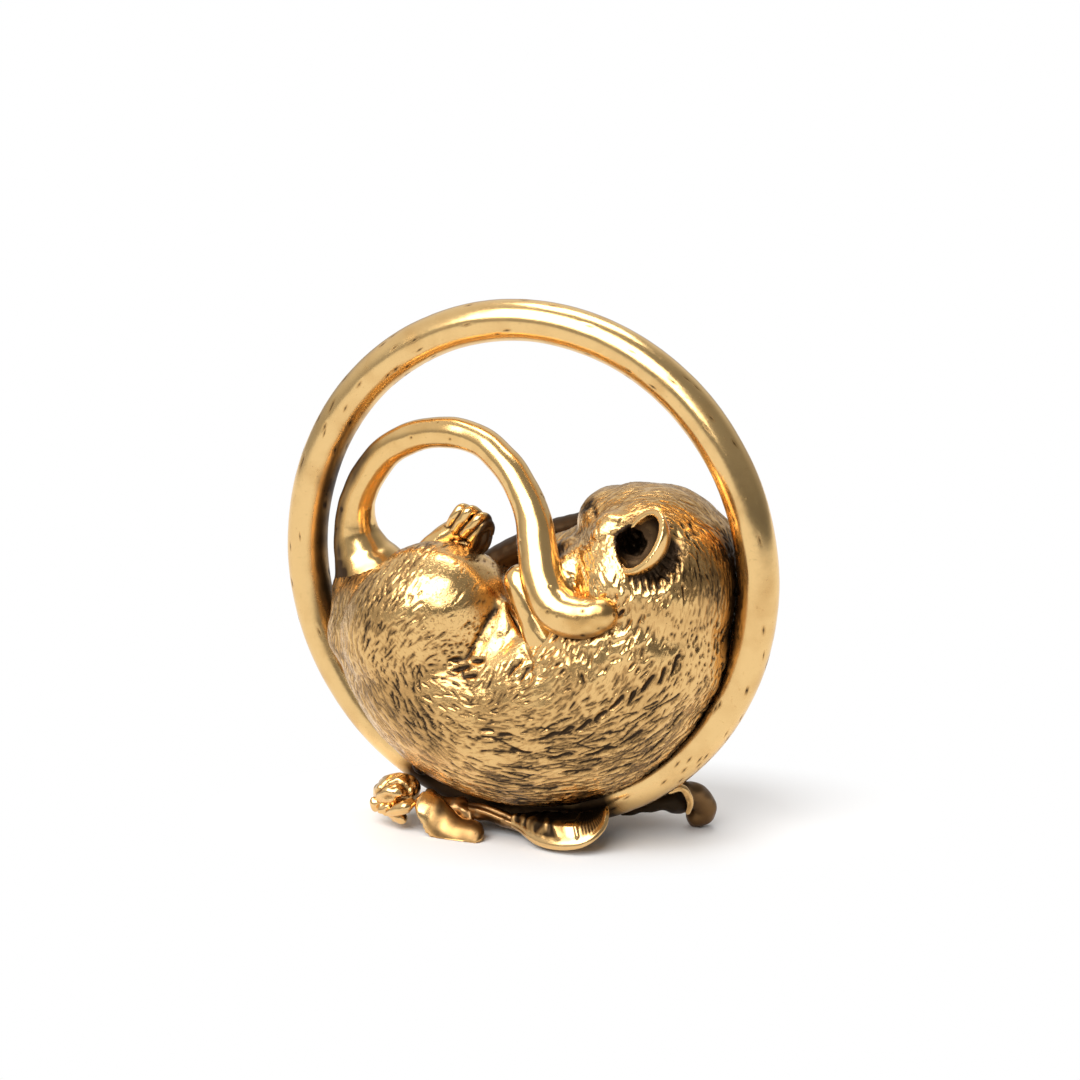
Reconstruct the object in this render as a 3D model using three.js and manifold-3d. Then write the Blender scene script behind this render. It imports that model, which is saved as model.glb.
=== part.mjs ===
// Dormouse asleep in a brass hoop, standing on a base of leaves.
// Millimetres, +Z up, +Y away from the viewer. The origin is on the floor under the middle of the hoop.
// The animal's own drawing frame has its origin at the centre that its back is curled around.
import * as THREE from 'three';
import { mergeVertices } from 'three/addons/utils/BufferGeometryUtils.js';
import Module from 'manifold-3d';

const wasm = await Module();
wasm.setup();

// Driving dimensions: the hoop
const HOOP_DIAMETER = 50.0;      // outside diameter
const ROD_DIAMETER = 3.9;        // round brass rod that the hoop is bent from
const HOOP_LIFT = 0.3;           // the leaves carry the hoop this far above the floor

// Driving dimensions: how the pieces go together
const FIT = 0.3;                 // clearance between two pieces that are joined
const SEAT_DEPTH = 1.7;          // how deep the hoop's rod is let into the animal's back
const REST_DEPTH = 0.15;         // depth of the flat filed under each leaf that stands on the floor

// Driving dimensions: the animal
const BACK_RADIUS = 22.8;        // curl of the back
const BODY_HALF_WIDTH = 12.3;    // from the middle plane to the flank
const THIGH_HALF_WIDTH = 12.8;   // from the middle plane to the outside of a thigh
const HIP_INSET = 4.5;           // flat inner face of a thigh, from the middle plane
const TAIL_DIAMETER = 2.8;       // at the top of its arch
const EAR_LENGTH = 6.4;          // longest way across the open ear
const EAR_WALL = 0.7;
const TOE_DIAMETER = 1.35;
const TOE_COUNT = 4;
const THIGH_DROP = 3.4;          // the animal is rolled a little: its far thigh and ear lie lower
const EAR_DROP = 3.8;

const hoopRadius = (HOOP_DIAMETER - ROD_DIAMETER) / 2;
const hoopInside = HOOP_DIAMETER / 2 - ROD_DIAMETER;
const hoopHeight = HOOP_LIFT + HOOP_DIAMETER / 2;
const animalHeight = hoopHeight - hoopInside - SEAT_DEPTH + BACK_RADIUS;   // centre of the back's curl
const rodFront = -ROD_DIAMETER / 2;
const rodBack = ROD_DIAMETER / 2;
const tailRadius = TAIL_DIAMETER / 2;

const brass = { color: 0xb98a45, roughness: 0.32, metalness: 1.0 };
const paleBrass = { color: 0xcda05a, roughness: 0.26, metalness: 1.0 };
const darkBrass = { color: 0x7d5a2c, roughness: 0.42, metalness: 1.0 };

const acrossBody = new THREE.Vector3(0, 1, 0);
const degrees = THREE.MathUtils.degToRad;

// A closed solid from a three.js geometry, with its faces pointing out.
function solidOf(geometry) {
  let plain = geometry.index ? geometry.toNonIndexed() : geometry.clone();
  for (const name of Object.keys(plain.attributes)) {
    if (name !== 'position') plain.deleteAttribute(name);
  }
  plain = mergeVertices(plain, 1e-4);
  const points = plain.attributes.position.array;
  const corners = [];
  const source = plain.index.array;
  for (let i = 0; i < source.length; i += 3) {
    const [a, b, c] = [source[i], source[i + 1], source[i + 2]];
    if (a !== b && b !== c && c !== a) corners.push(a, b, c);
  }
  if (signedVolume(points, corners) < 0) {
    for (let i = 0; i < corners.length; i += 3) [corners[i], corners[i + 1]] = [corners[i + 1], corners[i]];
  }
  return new wasm.Manifold(new wasm.Mesh({
    numProp: 3,
    vertProperties: new Float32Array(points),
    triVerts: new Uint32Array(corners),
  }));
}

function signedVolume(points, corners) {
  const [a, b, c] = [new THREE.Vector3(), new THREE.Vector3(), new THREE.Vector3()];
  let total = 0;
  for (let i = 0; i < corners.length; i += 3) {
    a.fromArray(points, corners[i] * 3);
    b.fromArray(points, corners[i + 1] * 3);
    c.fromArray(points, corners[i + 2] * 3);
    total += a.dot(b.cross(c)) / 6;
  }
  return total;
}

// A smooth run of oval sections through stations { at, wide, deep }, with a domed end at each side.
// wide lies along the side direction and deep is square to it; grow fattens the run all round.
function limb({
  stations, side = acrossBody, sides = 10, steps = 10, domes = [1, 1], domeSteps = 3, grow = 0,
}) {
  const middle = stations.map((s) => new THREE.Vector3(...s.at));
  const spine = new THREE.CatmullRomCurve3(middle, false, 'centripetal');
  const sizes = new THREE.CatmullRomCurve3(
    stations.map((s) => new THREE.Vector3(s.wide, s.deep, 0)), false, 'catmullrom', 0.5);
  const rings = [];
  const ringAt = (t, reach, shrink) => {
    const tangent = spine.getTangent(t).normalize();
    const across = side.clone().addScaledVector(tangent, -side.dot(tangent)).normalize();
    const deepWay = new THREE.Vector3().crossVectors(tangent, across);
    const centre = spine.getPoint(t).addScaledVector(tangent, reach);
    const size = sizes.getPoint(t);
    const ring = [];
    for (let k = 0; k < sides; k++) {
      const angle = (k / sides) * Math.PI * 2;
      ring.push(centre.clone()
        .addScaledVector(across, Math.cos(angle) * (size.x + grow) * shrink)
        .addScaledVector(deepWay, Math.sin(angle) * (size.y + grow) * shrink));
    }
    return { ring, centre };
  };
  const domeLength = (t, share) => {
    const size = sizes.getPoint(t);
    return share * Math.min(size.x, size.y) + grow;
  };
  const startLength = domeLength(0, domes[0]);
  const endLength = domeLength(1, domes[1]);
  for (let i = domeSteps; i > 0; i--) {
    const lift = (i / domeSteps) * Math.PI / 2;
    rings.push(ringAt(0, -startLength * Math.sin(lift), Math.cos(lift)));
  }
  for (let i = 0; i <= steps; i++) rings.push(ringAt(i / steps, 0, 1));
  for (let i = 1; i <= domeSteps; i++) {
    const lift = (i / domeSteps) * Math.PI / 2;
    rings.push(ringAt(1, endLength * Math.sin(lift), Math.cos(lift)));
  }
  return solidOf(skin(rings, sides));
}

// Triangles over a run of rings whose first and last rings have shrunk to their centres.
function skin(rings, sides) {
  const positions = [];
  const index = [];
  const last = rings.length - 1;
  positions.push(...rings[0].centre.toArray());
  for (let i = 1; i < last; i++) {
    for (const p of rings[i].ring) positions.push(p.x, p.y, p.z);
  }
  positions.push(...rings[last].centre.toArray());
  const at = (i, k) => 1 + (i - 1) * sides + (k % sides);
  const endPole = 1 + (last - 1) * sides;
  for (let k = 0; k < sides; k++) {
    index.push(0, at(1, k + 1), at(1, k));
    for (let i = 1; i < last - 1; i++) {
      index.push(at(i, k), at(i, k + 1), at(i + 1, k));
      index.push(at(i, k + 1), at(i + 1, k + 1), at(i + 1, k));
    }
    index.push(at(last - 1, k), at(last - 1, k + 1), endPole);
  }
  const geometry = new THREE.BufferGeometry();
  geometry.setAttribute('position', new THREE.Float32BufferAttribute(positions, 3));
  geometry.setIndex(index);
  return geometry;
}

// An egg with its own radii, turned about the Y axis.
function egg({ at, radii, turn = 0, grow = 0, around = 22, rings = 14 }) {
  const geometry = new THREE.SphereGeometry(1, around, rings);
  geometry.scale(radii[0] + grow, radii[1] + grow, radii[2] + grow);
  geometry.rotateY(-degrees(turn));
  geometry.translate(...at);
  return solidOf(geometry);
}

// A big block whose lower (or upper) face is the plane through a point with a given normal.
function halfSpace(point, normal) {
  const size = 4 * HOOP_DIAMETER;
  const geometry = new THREE.BoxGeometry(size, size, size);
  geometry.translate(0, 0, size / 2);
  geometry.applyQuaternion(new THREE.Quaternion().setFromUnitVectors(new THREE.Vector3(0, 0, 1), normal));
  geometry.translate(point.x, point.y, point.z);
  return solidOf(geometry);
}

// A leaf: a bent sheet over a grid, thick in the middle and rounded off at its rim.
function leafSheet({ surface, across, along, thickness, grow = 0 }) {
  const middle = [];
  for (let i = 0; i <= along; i++) {
    for (let j = 0; j <= across; j++) middle.push(surface(i / along, j / across));
  }
  const stride = across + 1;
  const pick = (i, j) => middle[Math.min(Math.max(i, 0), along) * stride + Math.min(Math.max(j, 0), across)];
  const positions = [];
  for (const way of [1, -1]) {
    for (let i = 0; i <= along; i++) {
      for (let j = 0; j <= across; j++) {
        const alongWay = new THREE.Vector3().subVectors(pick(i + 1, j), pick(i - 1, j));
        const acrossWay = new THREE.Vector3().subVectors(pick(i, j + 1), pick(i, j - 1));
        const normal = new THREE.Vector3().crossVectors(alongWay, acrossWay).normalize();
        const rim = i === 0 || i === along || j === 0 || j === across;
        const half = (rim ? 0.3 : 0.5) * thickness + grow;
        positions.push(...pick(i, j).clone().addScaledVector(normal, way * half).toArray());
      }
    }
  }
  const layer = stride * (along + 1);
  const index = [];
  const quad = (a, b, c, d) => index.push(a, b, c, a, c, d);
  for (let i = 0; i < along; i++) {
    for (let j = 0; j < across; j++) {
      const a = i * stride + j;
      quad(a, a + 1, a + 1 + stride, a + stride);
      quad(layer + a, layer + a + stride, layer + a + 1 + stride, layer + a + 1);
    }
  }
  for (let j = 0; j < across; j++) {
    const far = along * stride + j;
    quad(j + 1, j, layer + j, layer + j + 1);
    quad(far, far + 1, layer + far + 1, layer + far);
  }
  for (let i = 0; i < along; i++) {
    const near = i * stride;
    const end = near + across;
    quad(near, near + stride, layer + near + stride, layer + near);
    quad(end + stride, end, layer + end, layer + end + stride);
  }
  const geometry = new THREE.BufferGeometry();
  geometry.setAttribute('position', new THREE.Float32BufferAttribute(positions, 3));
  geometry.setIndex(index);
  return solidOf(geometry);
}

// Only the largest body of a cut piece is kept; what a cut leaves beside it is waste.
function largestBody(solid) {
  const mesh = solid.getMesh();
  const points = mesh.vertProperties;
  const corners = mesh.triVerts;
  const parent = Array.from({ length: points.length / 3 }, (_, i) => i);
  const root = (i) => {
    while (parent[i] !== i) {
      parent[i] = parent[parent[i]];
      i = parent[i];
    }
    return i;
  };
  for (let i = 0; i < corners.length; i += 3) {
    parent[root(corners[i + 1])] = root(corners[i]);
    parent[root(corners[i + 2])] = root(corners[i]);
  }
  const bodies = new Map();
  for (let i = 0; i < corners.length; i += 3) {
    const key = root(corners[i]);
    if (!bodies.has(key)) bodies.set(key, []);
    bodies.get(key).push(corners[i], corners[i + 1], corners[i + 2]);
  }
  const ranked = [...bodies.values()].sort((a, b) => signedVolume(points, b) - signedVolume(points, a));
  const geometry = new THREE.BufferGeometry();
  geometry.setAttribute('position', new THREE.Float32BufferAttribute(Float32Array.from(points), 3));
  geometry.setIndex(ranked[0]);
  return geometry.toNonIndexed();
}

// The assembly: each new piece is cut back from all the pieces that are already there.
const figurine = new THREE.Group();
const animal = new THREE.Group();
animal.position.z = animalHeight;
figurine.add(animal);
const seated = [];

function seat(name, group, finish, build) {
  const lift = group === animal ? animalHeight : 0;
  let piece = build(0);
  for (const other of seated) piece = piece.subtract(inFrame(other.cutter, other.lift - lift));
  seated.push({ cutter: build(FIT), lift });
  const geometry = largestBody(piece);
  geometry.computeBoundingBox();
  const centre = geometry.boundingBox.getCenter(new THREE.Vector3());
  geometry.translate(-centre.x, -centre.y, -centre.z);
  geometry.computeVertexNormals();
  const mesh = new THREE.Mesh(geometry, new THREE.MeshStandardMaterial({ ...finish, flatShading: true }));
  mesh.name = name;
  mesh.position.copy(centre);
  group.add(mesh);
}

function inFrame(solid, rise) {
  if (rise === 0) return solid;
  const mesh = solid.getMesh();
  const points = Float32Array.from(mesh.vertProperties);
  const geometry = new THREE.BufferGeometry();
  geometry.setAttribute('position', new THREE.Float32BufferAttribute(points, 3));
  geometry.setIndex(Array.from(mesh.triVerts));
  geometry.translate(0, 0, rise);
  return solidOf(geometry);
}

// Hoop: a round rod bent to a ring in the plane Y = 0.
function hoop(grow) {
  const geometry = new THREE.TorusGeometry(hoopRadius, ROD_DIAMETER / 2 + grow, 12, 60);
  geometry.rotateX(Math.PI / 2);
  geometry.translate(0, 0, hoopHeight);
  return solidOf(geometry);
}

// Tail: up from the rump inside the hoop, over in an arch, and down to the cheek.
// Each station is a point on its middle line and its thickness there as a share of the arch's.
const TAIL = [
  { at: [-15.0, 0.0, -5.4], share: 1.71 },
  { at: [-16.4, -0.2, -2.0], share: 1.71 },
  { at: [-17.0, -0.4, 0.6], share: 1.46 },
  { at: [-17.15, -0.6, 2.8], share: 1.2 },
  { at: [-16.85, -1.0, 5.2], share: 1.16 },
  { at: [-14.95, -1.7, 8.5], share: 1.11 },
  { at: [-11.7, -2.5, 11.2], share: 1.04 },
  { at: [-7.3, -3.3, 12.6], share: 1.0 },
  { at: [-3.2, -4.0, 12.4], share: 1.0 },
  { at: [-0.25, -5.0, 10.95], share: 1.02 },
  { at: [2.15, -6.0, 8.8], share: 1.06 },
  { at: [3.8, -7.0, 6.4], share: 1.14 },
  { at: [4.9, -8.2, 3.5], share: 1.29 },
  { at: [6.0, -9.4, 0.7], share: 1.36 },
  { at: [7.6, -10.2, -1.2], share: 1.42 },
  { at: [9.6, -10.6, -1.75], share: 1.36 },
  { at: [11.2, -10.6, -1.55], share: 1.25 },
  { at: [12.1, -10.55, -1.25], share: 1.11 },
];

function tail(grow) {
  const stations = TAIL.map((s) => ({ at: s.at, wide: s.share * tailRadius, deep: s.share * tailRadius }));
  return limb({ stations, sides: 10, steps: 34, grow });
}

// Ear: an open cup whose mouth looks forward, outward and up. way is -1 for the near ear and 1 for the
// far one.
const EAR = {
  at: [14.4, 8.3, 5.2],
  mouth: [-0.456, 0.722, 0.51],
  tip: [0.37, -0.364, 0.856],
  narrow: 0.84,
  depth: 2.6,
};

function ear(way, drop, grow, filled) {
  const r = EAR_LENGTH / 2;
  const wall = EAR_WALL;
  const base = [[0, -EAR.depth], [0.55 * r, 0.25 * wall - EAR.depth]];
  const outside = [...base, [0.88 * r, -0.42 * EAR.depth], [r, 0]];
  const lip = [[r - 0.15 * wall, 0.4 * wall], [r - 0.6 * wall, 0.5 * wall]];
  const floor = wall - EAR.depth;
  const hollow = [[r - wall, 0], [0.86 * (r - wall), -0.4 * EAR.depth], [0.5 * r, floor], [0, floor]];
  const flatTop = [[0, 0.5 * wall]];
  const outline = [...outside, ...lip, ...(filled ? flatTop : hollow)];
  const grown = ([x, y]) => new THREE.Vector2(x > 0 ? x + grow : 0, y + (y > 0 ? grow : -grow));
  const profile = outline.map(grown);
  const geometry = new THREE.LatheGeometry(profile, 18);
  geometry.scale(1, 1, EAR.narrow);
  const mouth = new THREE.Vector3(EAR.mouth[0], way * EAR.mouth[1], EAR.mouth[2]).normalize();
  const tip = new THREE.Vector3(EAR.tip[0], way * EAR.tip[1], EAR.tip[2]);
  tip.addScaledVector(mouth, -tip.dot(mouth)).normalize();
  const third = new THREE.Vector3().crossVectors(tip, mouth);
  geometry.applyMatrix4(new THREE.Matrix4().makeBasis(tip, mouth, third));
  geometry.translate(EAR.at[0], way * EAR.at[1], EAR.at[2] - drop);
  return solidOf(geometry);
}

// Near forearm and paw: from the chest up behind the tail.
const NEAR_ARM = [
  { at: [6.6, -8.2, -6.6], wide: 2.1, deep: 2.2 },
  { at: [5.2, -8.4, -3.6], wide: 1.8, deep: 1.9 },
  { at: [3.6, -8.2, -1.0], wide: 1.5, deep: 1.6 },
  { at: [2.3, -7.6, 1.0], wide: 1.5, deep: 1.4 },
];

// Far forearm and paw: from the far cheek down across the belly.
const FAR_ARM = [
  { at: [5.6, 4.6, 4.3], wide: 1.4, deep: 1.4 },
  { at: [3.0, 4.8, 3.4], wide: 1.5, deep: 1.5 },
  { at: [0.2, 5.0, 1.9], wide: 1.6, deep: 1.6 },
  { at: [-3.3, 5.0, -0.1], wide: 1.7, deep: 1.6 },
  { at: [-6.2, 5.0, -1.9], wide: 1.6, deep: 1.5 },
];

// Hind feet: the shin comes out beside the thigh and ends in a foot with curled toes.
const NEAR_FOOT = {
  leg: [
    { at: [-10.6, -4.0, -1.5], wide: 1.9, deep: 2.0 },
    { at: [-8.6, -3.9, 0.9], wide: 1.5, deep: 1.6 },
    { at: [-6.8, -3.6, 2.6], wide: 1.4, deep: 1.3 },
    { at: [-5.4, -3.2, 3.5], wide: 1.9, deep: 1.25 },
  ],
  toes: [[-4.9, -4.5, 5.2], [-4.1, -3.5, 5.0], [-3.6, -2.5, 4.3], [-3.6, -1.6, 3.3]],
};
const FAR_FOOT = {
  leg: [
    { at: [-11.5, 5.6, -6.0], wide: 1.9, deep: 2.0 },
    { at: [-10.2, 4.9, -3.6], wide: 1.5, deep: 1.6 },
    { at: [-8.8, 3.4, -2.3], wide: 1.35, deep: 1.2 },
    { at: [-7.4, 2.0, -1.7], wide: 1.6, deep: 1.0 },
  ],
  toes: [[-6.9, 0.9, -0.3], [-6.0, 1.5, -0.3], [-5.3, 2.4, -0.6], [-5.1, 3.3, -1.1]],
};

function hindFoot(foot, grow) {
  let solid = limb({ stations: foot.leg, sides: 10, steps: 6, domeSteps: 2, grow });
  const sole = new THREE.Vector3(...foot.leg[3].at);
  for (const end of foot.toes.slice(0, TOE_COUNT)) {
    const tipPoint = new THREE.Vector3(...end);
    const radius = TOE_DIAMETER / 2;
    const start = sole.clone().lerp(tipPoint, 0.35);
    const knuckle = sole.clone().lerp(tipPoint, 0.72).addScaledVector(new THREE.Vector3(0, 0, 1), 0.2);
    const stations = [start, knuckle, tipPoint].map((p) => ({ at: p.toArray(), wide: radius, deep: radius }));
    solid = solid.add(limb({ stations, sides: 6, steps: 3, domeSteps: 2, grow }));
  }
  return solid;
}

// Thigh: a fat egg with a flat inner face against the body. The far one lies a little lower.
function thigh(way, drop, grow) {
  const outer = THIGH_HALF_WIDTH;
  const radii = [9.0, 6.4, 6.7];
  const at = [-7.3, way * (outer - radii[1]), -4.5 - drop];
  const inner = new THREE.Vector3(0, way * (HIP_INSET - grow), 0);
  return egg({ at, radii, turn: 35, grow }).intersect(halfSpace(inner, new THREE.Vector3(0, way, 0)));
}

// Body: oval sections round the curl of the back. turn is in degrees from the lowest point towards the neck,
// inset is how far the back lies inside BACK_RADIUS, and flank is a share of the body's half width.
const BODY = [
  { turn: -74, inset: 1.4, thick: 12.8, flank: 0.74 },
  { turn: -61, inset: 1.1, thick: 16.8, flank: 0.88 },
  { turn: -43, inset: 0.9, thick: 19.4, flank: 0.95 },
  { turn: -20, inset: 0.4, thick: 20.4, flank: 0.985 },
  { turn: 6, inset: 0.0, thick: 20.8, flank: 1.0 },
  { turn: 30, inset: 0.0, thick: 20.8, flank: 1.0 },
  { turn: 54, inset: 0.4, thick: 19.8, flank: 0.97 },
  { turn: 72, inset: 1.3, thick: 18.2, flank: 0.9 },
];

function wholeBody(grow) {
  const stations = BODY.map((s) => {
    const reach = BACK_RADIUS - s.inset - s.thick / 2;
    const angle = degrees(s.turn);
    return {
      at: [Math.sin(angle) * reach, 0, -Math.cos(angle) * reach],
      wide: s.flank * BODY_HALF_WIDTH,
      deep: s.thick / 2,
    };
  });
  return limb({ stations, sides: 24, steps: 16, domes: [0.5, 0.6], grow });
}

// Neck joint: the plane in which the head is joined to the body, from the throat to the nape.
const NECK_POINT = new THREE.Vector3(14, 0, -5.4);
const NECK_NORMAL = new THREE.Vector3(-0.225, 0, 0.974).normalize();
const THROAT = 6.6;              // the head's share of the neck starts here
const SKULL = { at: [13.0, 0, -0.5], radii: [7.7, 10.0, 9.15] };
const FOREHEAD = { at: [9.3, 0, 5.1], radii: [3.3, 5.0, 3.0] };
const MUZZLE = [
  { at: [11.0, 0, 0.0], wide: 7.4, deep: 6.3 },
  { at: [8.2, 0, 0.7], wide: 5.5, deep: 4.7 },
  { at: [6.0, 0, 0.9], wide: 3.8, deep: 3.3 },
  { at: [4.6, 0, 1.5], wide: 2.6, deep: 2.2 },
  { at: [3.7, 0, 1.9], wide: 1.6, deep: 1.4 },
];

function head(grow) {
  const belowNeck = NECK_POINT.clone().addScaledVector(NECK_NORMAL, -grow);
  const skull = egg({ ...SKULL, grow, around: 24, rings: 16 });
  const forehead = egg({ ...FOREHEAD, grow, around: 18, rings: 12 });
  const muzzle = limb({ stations: MUZZLE, sides: 14, steps: 8, domes: [0.3, 0.9], domeSteps: 2, grow });
  const throat = halfSpace(new THREE.Vector3(THROAT - grow, 0, 0), new THREE.Vector3(1, 0, 0));
  const neck = wholeBody(grow).intersect(throat);
  return skull.add(forehead).add(muzzle).add(neck).intersect(halfSpace(belowNeck, NECK_NORMAL));
}

// Base pieces are drawn in heights above the floor. One that stands on it is let down until its lowest point
// is REST_DEPTH too low, and is then filed flat.
function standing(solid, grow) {
  let lowest = Infinity;
  const points = solid.getMesh().vertProperties;
  for (let i = 2; i < points.length; i += 3) lowest = Math.min(lowest, points[i]);
  const lowered = inFrame(solid, -REST_DEPTH - grow - lowest);
  return lowered.intersect(halfSpace(new THREE.Vector3(0, 0, 0), new THREE.Vector3(0, 0, 1)));
}

const BLOSSOM = { at: [-11.0, rodFront - 2.3, 3.0], radii: [2.5, 2.5, 2.3] };

function blossomHusk(grow) {
  return egg({ ...BLOSSOM, grow, around: 16, rings: 10 });
}

// Rolled rim along the husk's mouth, on the side that faces the viewer.
const LIP_RADIUS = 0.5;

function blossomLip(grow) {
  const [x, y, z] = BLOSSOM.at;
  const [rx, ry, rz] = BLOSSOM.radii;
  const stations = [20, -35, -90, -145].map((turn) => {
    const angle = degrees(turn);
    const at = [x + 0.86 * rx * Math.cos(angle), y - 0.86 * ry, z + 0.2 + 0.62 * rz * Math.sin(angle)];
    return { at, wide: LIP_RADIUS, deep: LIP_RADIUS };
  });
  return limb({ stations, sides: 6, steps: 8, domeSteps: 2, grow });
}

const BUDS = [
  { at: [-13.1, -5.9, 1.8], radii: [0.85, 0.8, 0.75] },
  { at: [-12.0, -6.5, 1.4], radii: [0.95, 0.85, 0.9] },
  { at: [-10.2, -6.6, 1.8], radii: [1.0, 0.85, 0.85] },
];

function bud(shape, grow) {
  return egg({ ...shape, grow, around: 10, rings: 7 });
}

const TONGUE_LEAF = [
  { at: [-8.5, -5.4, 3.2], wide: 0.9, deep: 0.6 },
  { at: [-7.1, -6.2, 3.4], wide: 1.3, deep: 0.65 },
  { at: [-5.8, -6.6, 2.4], wide: 1.7, deep: 0.7 },
  { at: [-4.6, -6.7, 1.2], wide: 1.9, deep: 0.75 },
  { at: [-3.1, -6.3, 0.65], wide: 1.4, deep: 0.8 },
];

const FOLDED_LEAF = [
  { at: [-7.4, -4.2, 3.2], wide: 0.8, deep: 0.5 },
  { at: [-5.6, -4.6, 3.3], wide: 1.2, deep: 0.55 },
  { at: [-4.2, -4.7, 2.5], wide: 1.3, deep: 0.6 },
  { at: [-3.1, -4.6, 1.5], wide: 1.0, deep: 0.6 },
];

const TWIG = [
  { at: [-9.4, -3.2, 1.6], wide: 0.8, deep: 0.8 },
  { at: [-6.4, -3.3, 1.5], wide: 0.75, deep: 0.75 },
  { at: [-3.6, -3.5, 1.5], wide: 0.75, deep: 0.75 },
  { at: [-1.2, -3.3, 1.5], wide: 0.8, deep: 0.8 },
  { at: [0.8, -3.6, 1.4], wide: 0.75, deep: 0.75 },
  { at: [2.2, -4.1, 1.3], wide: 0.65, deep: 0.65 },
];

const ROLLED_LEAF = [
  { at: [8.8, rodBack - 0.4, 2.2], wide: 1.0, deep: 0.9 },
  { at: [10.8, 3.6, 3.0], wide: 1.4, deep: 1.1 },
  { at: [12.8, 5.5, 3.1], wide: 1.6, deep: 1.15 },
  { at: [14.5, 6.5, 2.3], wide: 1.6, deep: 1.1 },
  { at: [15.0, 6.8, 1.0], wide: 1.4, deep: 1.1 },
];

const TENDRIL = [
  { at: [11.2, rodBack - 0.5, 4.0], wide: 0.55, deep: 0.55 },
  { at: [12.8, 3.6, 4.4], wide: 0.6, deep: 0.6 },
  { at: [14.3, 4.6, 3.8], wide: 0.55, deep: 0.55 },
  { at: [14.8, 5.0, 2.2], wide: 0.45, deep: 0.45 },
];

const REAR_LEAF = [
  { at: [-0.6, rodBack - 0.4, 1.6], wide: 1.4, deep: 0.6 },
  { at: [-1.8, 3.6, 2.0], wide: 2.2, deep: 0.65 },
  { at: [-3.0, 5.8, 1.5], wide: 2.5, deep: 0.7 },
  { at: [-3.9, 7.4, 0.6], wide: 1.9, deep: 0.75 },
];

// Front leaf: a cupped, scalloped fan from the front of the hoop out to a raised rim.
const FRONT_LEAF_THICKNESS = 0.9;
const FRONT_ROOT = [
  [1.6, rodFront - 0.9, 1.0], [4.2, rodFront + 0.4, 1.1],
  [7.0, rodFront + 0.5, 1.9], [9.4, rodFront + 0.3, 3.4],
];
const FRONT_RIM = [
  [0.3, -4.5, 1.5], [1.4, -4.9, 1.1], [2.8, -5.7, 0.6], [4.6, -6.8, 0.45], [6.3, -6.7, 0.45],
  [7.9, -5.6, 0.5], [9.1, -4.3, 1.1], [9.9, -3.4, 2.2], [10.1, -2.8, 3.5],
];
const FRONT_LEAF_CUP = 0.55;      // how far the cup dips between the hoop and the rim
const FRONT_LEAF_FOLD = 0.28;     // height of its radial folds

function frontLeaf(grow) {
  const root = new THREE.CatmullRomCurve3(FRONT_ROOT.map((p) => new THREE.Vector3(...p)));
  const rim = new THREE.CatmullRomCurve3(FRONT_RIM.map((p) => new THREE.Vector3(...p)));
  const surface = (u, v) => {
    const point = root.getPoint(v).lerp(rim.getPoint(v), u);
    point.z -= FRONT_LEAF_CUP * Math.sin(Math.PI * u) ** 2;
    point.z += FRONT_LEAF_FOLD * u * Math.cos(v * Math.PI * 8);
    return point;
  };
  return leafSheet({ surface, across: 24, along: 5, thickness: FRONT_LEAF_THICKNESS, grow });
}

function sprig(stations, sideWay, grow) {
  const side = new THREE.Vector3(...sideWay).normalize();
  return limb({ stations, side, sides: 10, steps: 8, domeSteps: 2, grow });
}

seat('hoop', figurine, paleBrass, hoop);
seat('tail', animal, paleBrass, tail);
seat('ear_left', animal, paleBrass, (grow) => ear(-1, 0, grow, grow > 0));
seat('ear_right', animal, paleBrass, (grow) => ear(1, EAR_DROP, grow, grow > 0));
seat('foreleg_left', animal, paleBrass, (grow) => limb({ stations: NEAR_ARM, steps: 8, grow }));
seat('foreleg_right', animal, brass, (grow) => limb({ stations: FAR_ARM, steps: 10, grow }));
seat('hind_foot_left', animal, brass, (grow) => hindFoot(NEAR_FOOT, grow));
seat('hind_foot_right', animal, brass, (grow) => hindFoot(FAR_FOOT, grow));
seat('haunch_left', animal, brass, (grow) => thigh(-1, 0, grow));
seat('haunch_right', animal, brass, (grow) => thigh(1, THIGH_DROP, grow));
seat('head', animal, brass, head);
seat('torso', animal, brass, wholeBody);
seat('blossom_husk', figurine, paleBrass, blossomHusk);
seat('blossom_lip', figurine, paleBrass, blossomLip);
seat('bud_1', figurine, paleBrass, (grow) => bud(BUDS[0], grow));
seat('bud_2', figurine, paleBrass, (grow) => bud(BUDS[1], grow));
seat('bud_3', figurine, paleBrass, (grow) => bud(BUDS[2], grow));
seat('leaf_tongue', figurine, brass, (grow) => standing(sprig(TONGUE_LEAF, [0.5, 0.86, 0], grow), grow));
seat('twig', figurine, darkBrass, (grow) => sprig(TWIG, [0, 1, 0], grow));
seat('leaf_folded', figurine, darkBrass, (grow) => sprig(FOLDED_LEAF, [0.3, 0.95, 0], grow));
seat('leaf_front', figurine, brass, (grow) => standing(frontLeaf(grow), grow));
seat('leaf_rolled', figurine, darkBrass, (grow) => standing(sprig(ROLLED_LEAF, [0.7, -0.7, 0], grow), grow));
seat('tendril', figurine, brass, (grow) => sprig(TENDRIL, [0.7, -0.7, 0], grow));
seat('leaf_rear', figurine, darkBrass, (grow) => standing(sprig(REAR_LEAF, [0.9, 0.4, 0], grow), grow));

export default figurine;
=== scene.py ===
"""Brass dormouse asleep in a hoop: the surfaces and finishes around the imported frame."""
import math

import bpy
import numpy as np
from mathutils import Matrix, Vector
from mathutils.bvhtree import BVHTree
from mathutils.kdtree import KDTree


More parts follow.
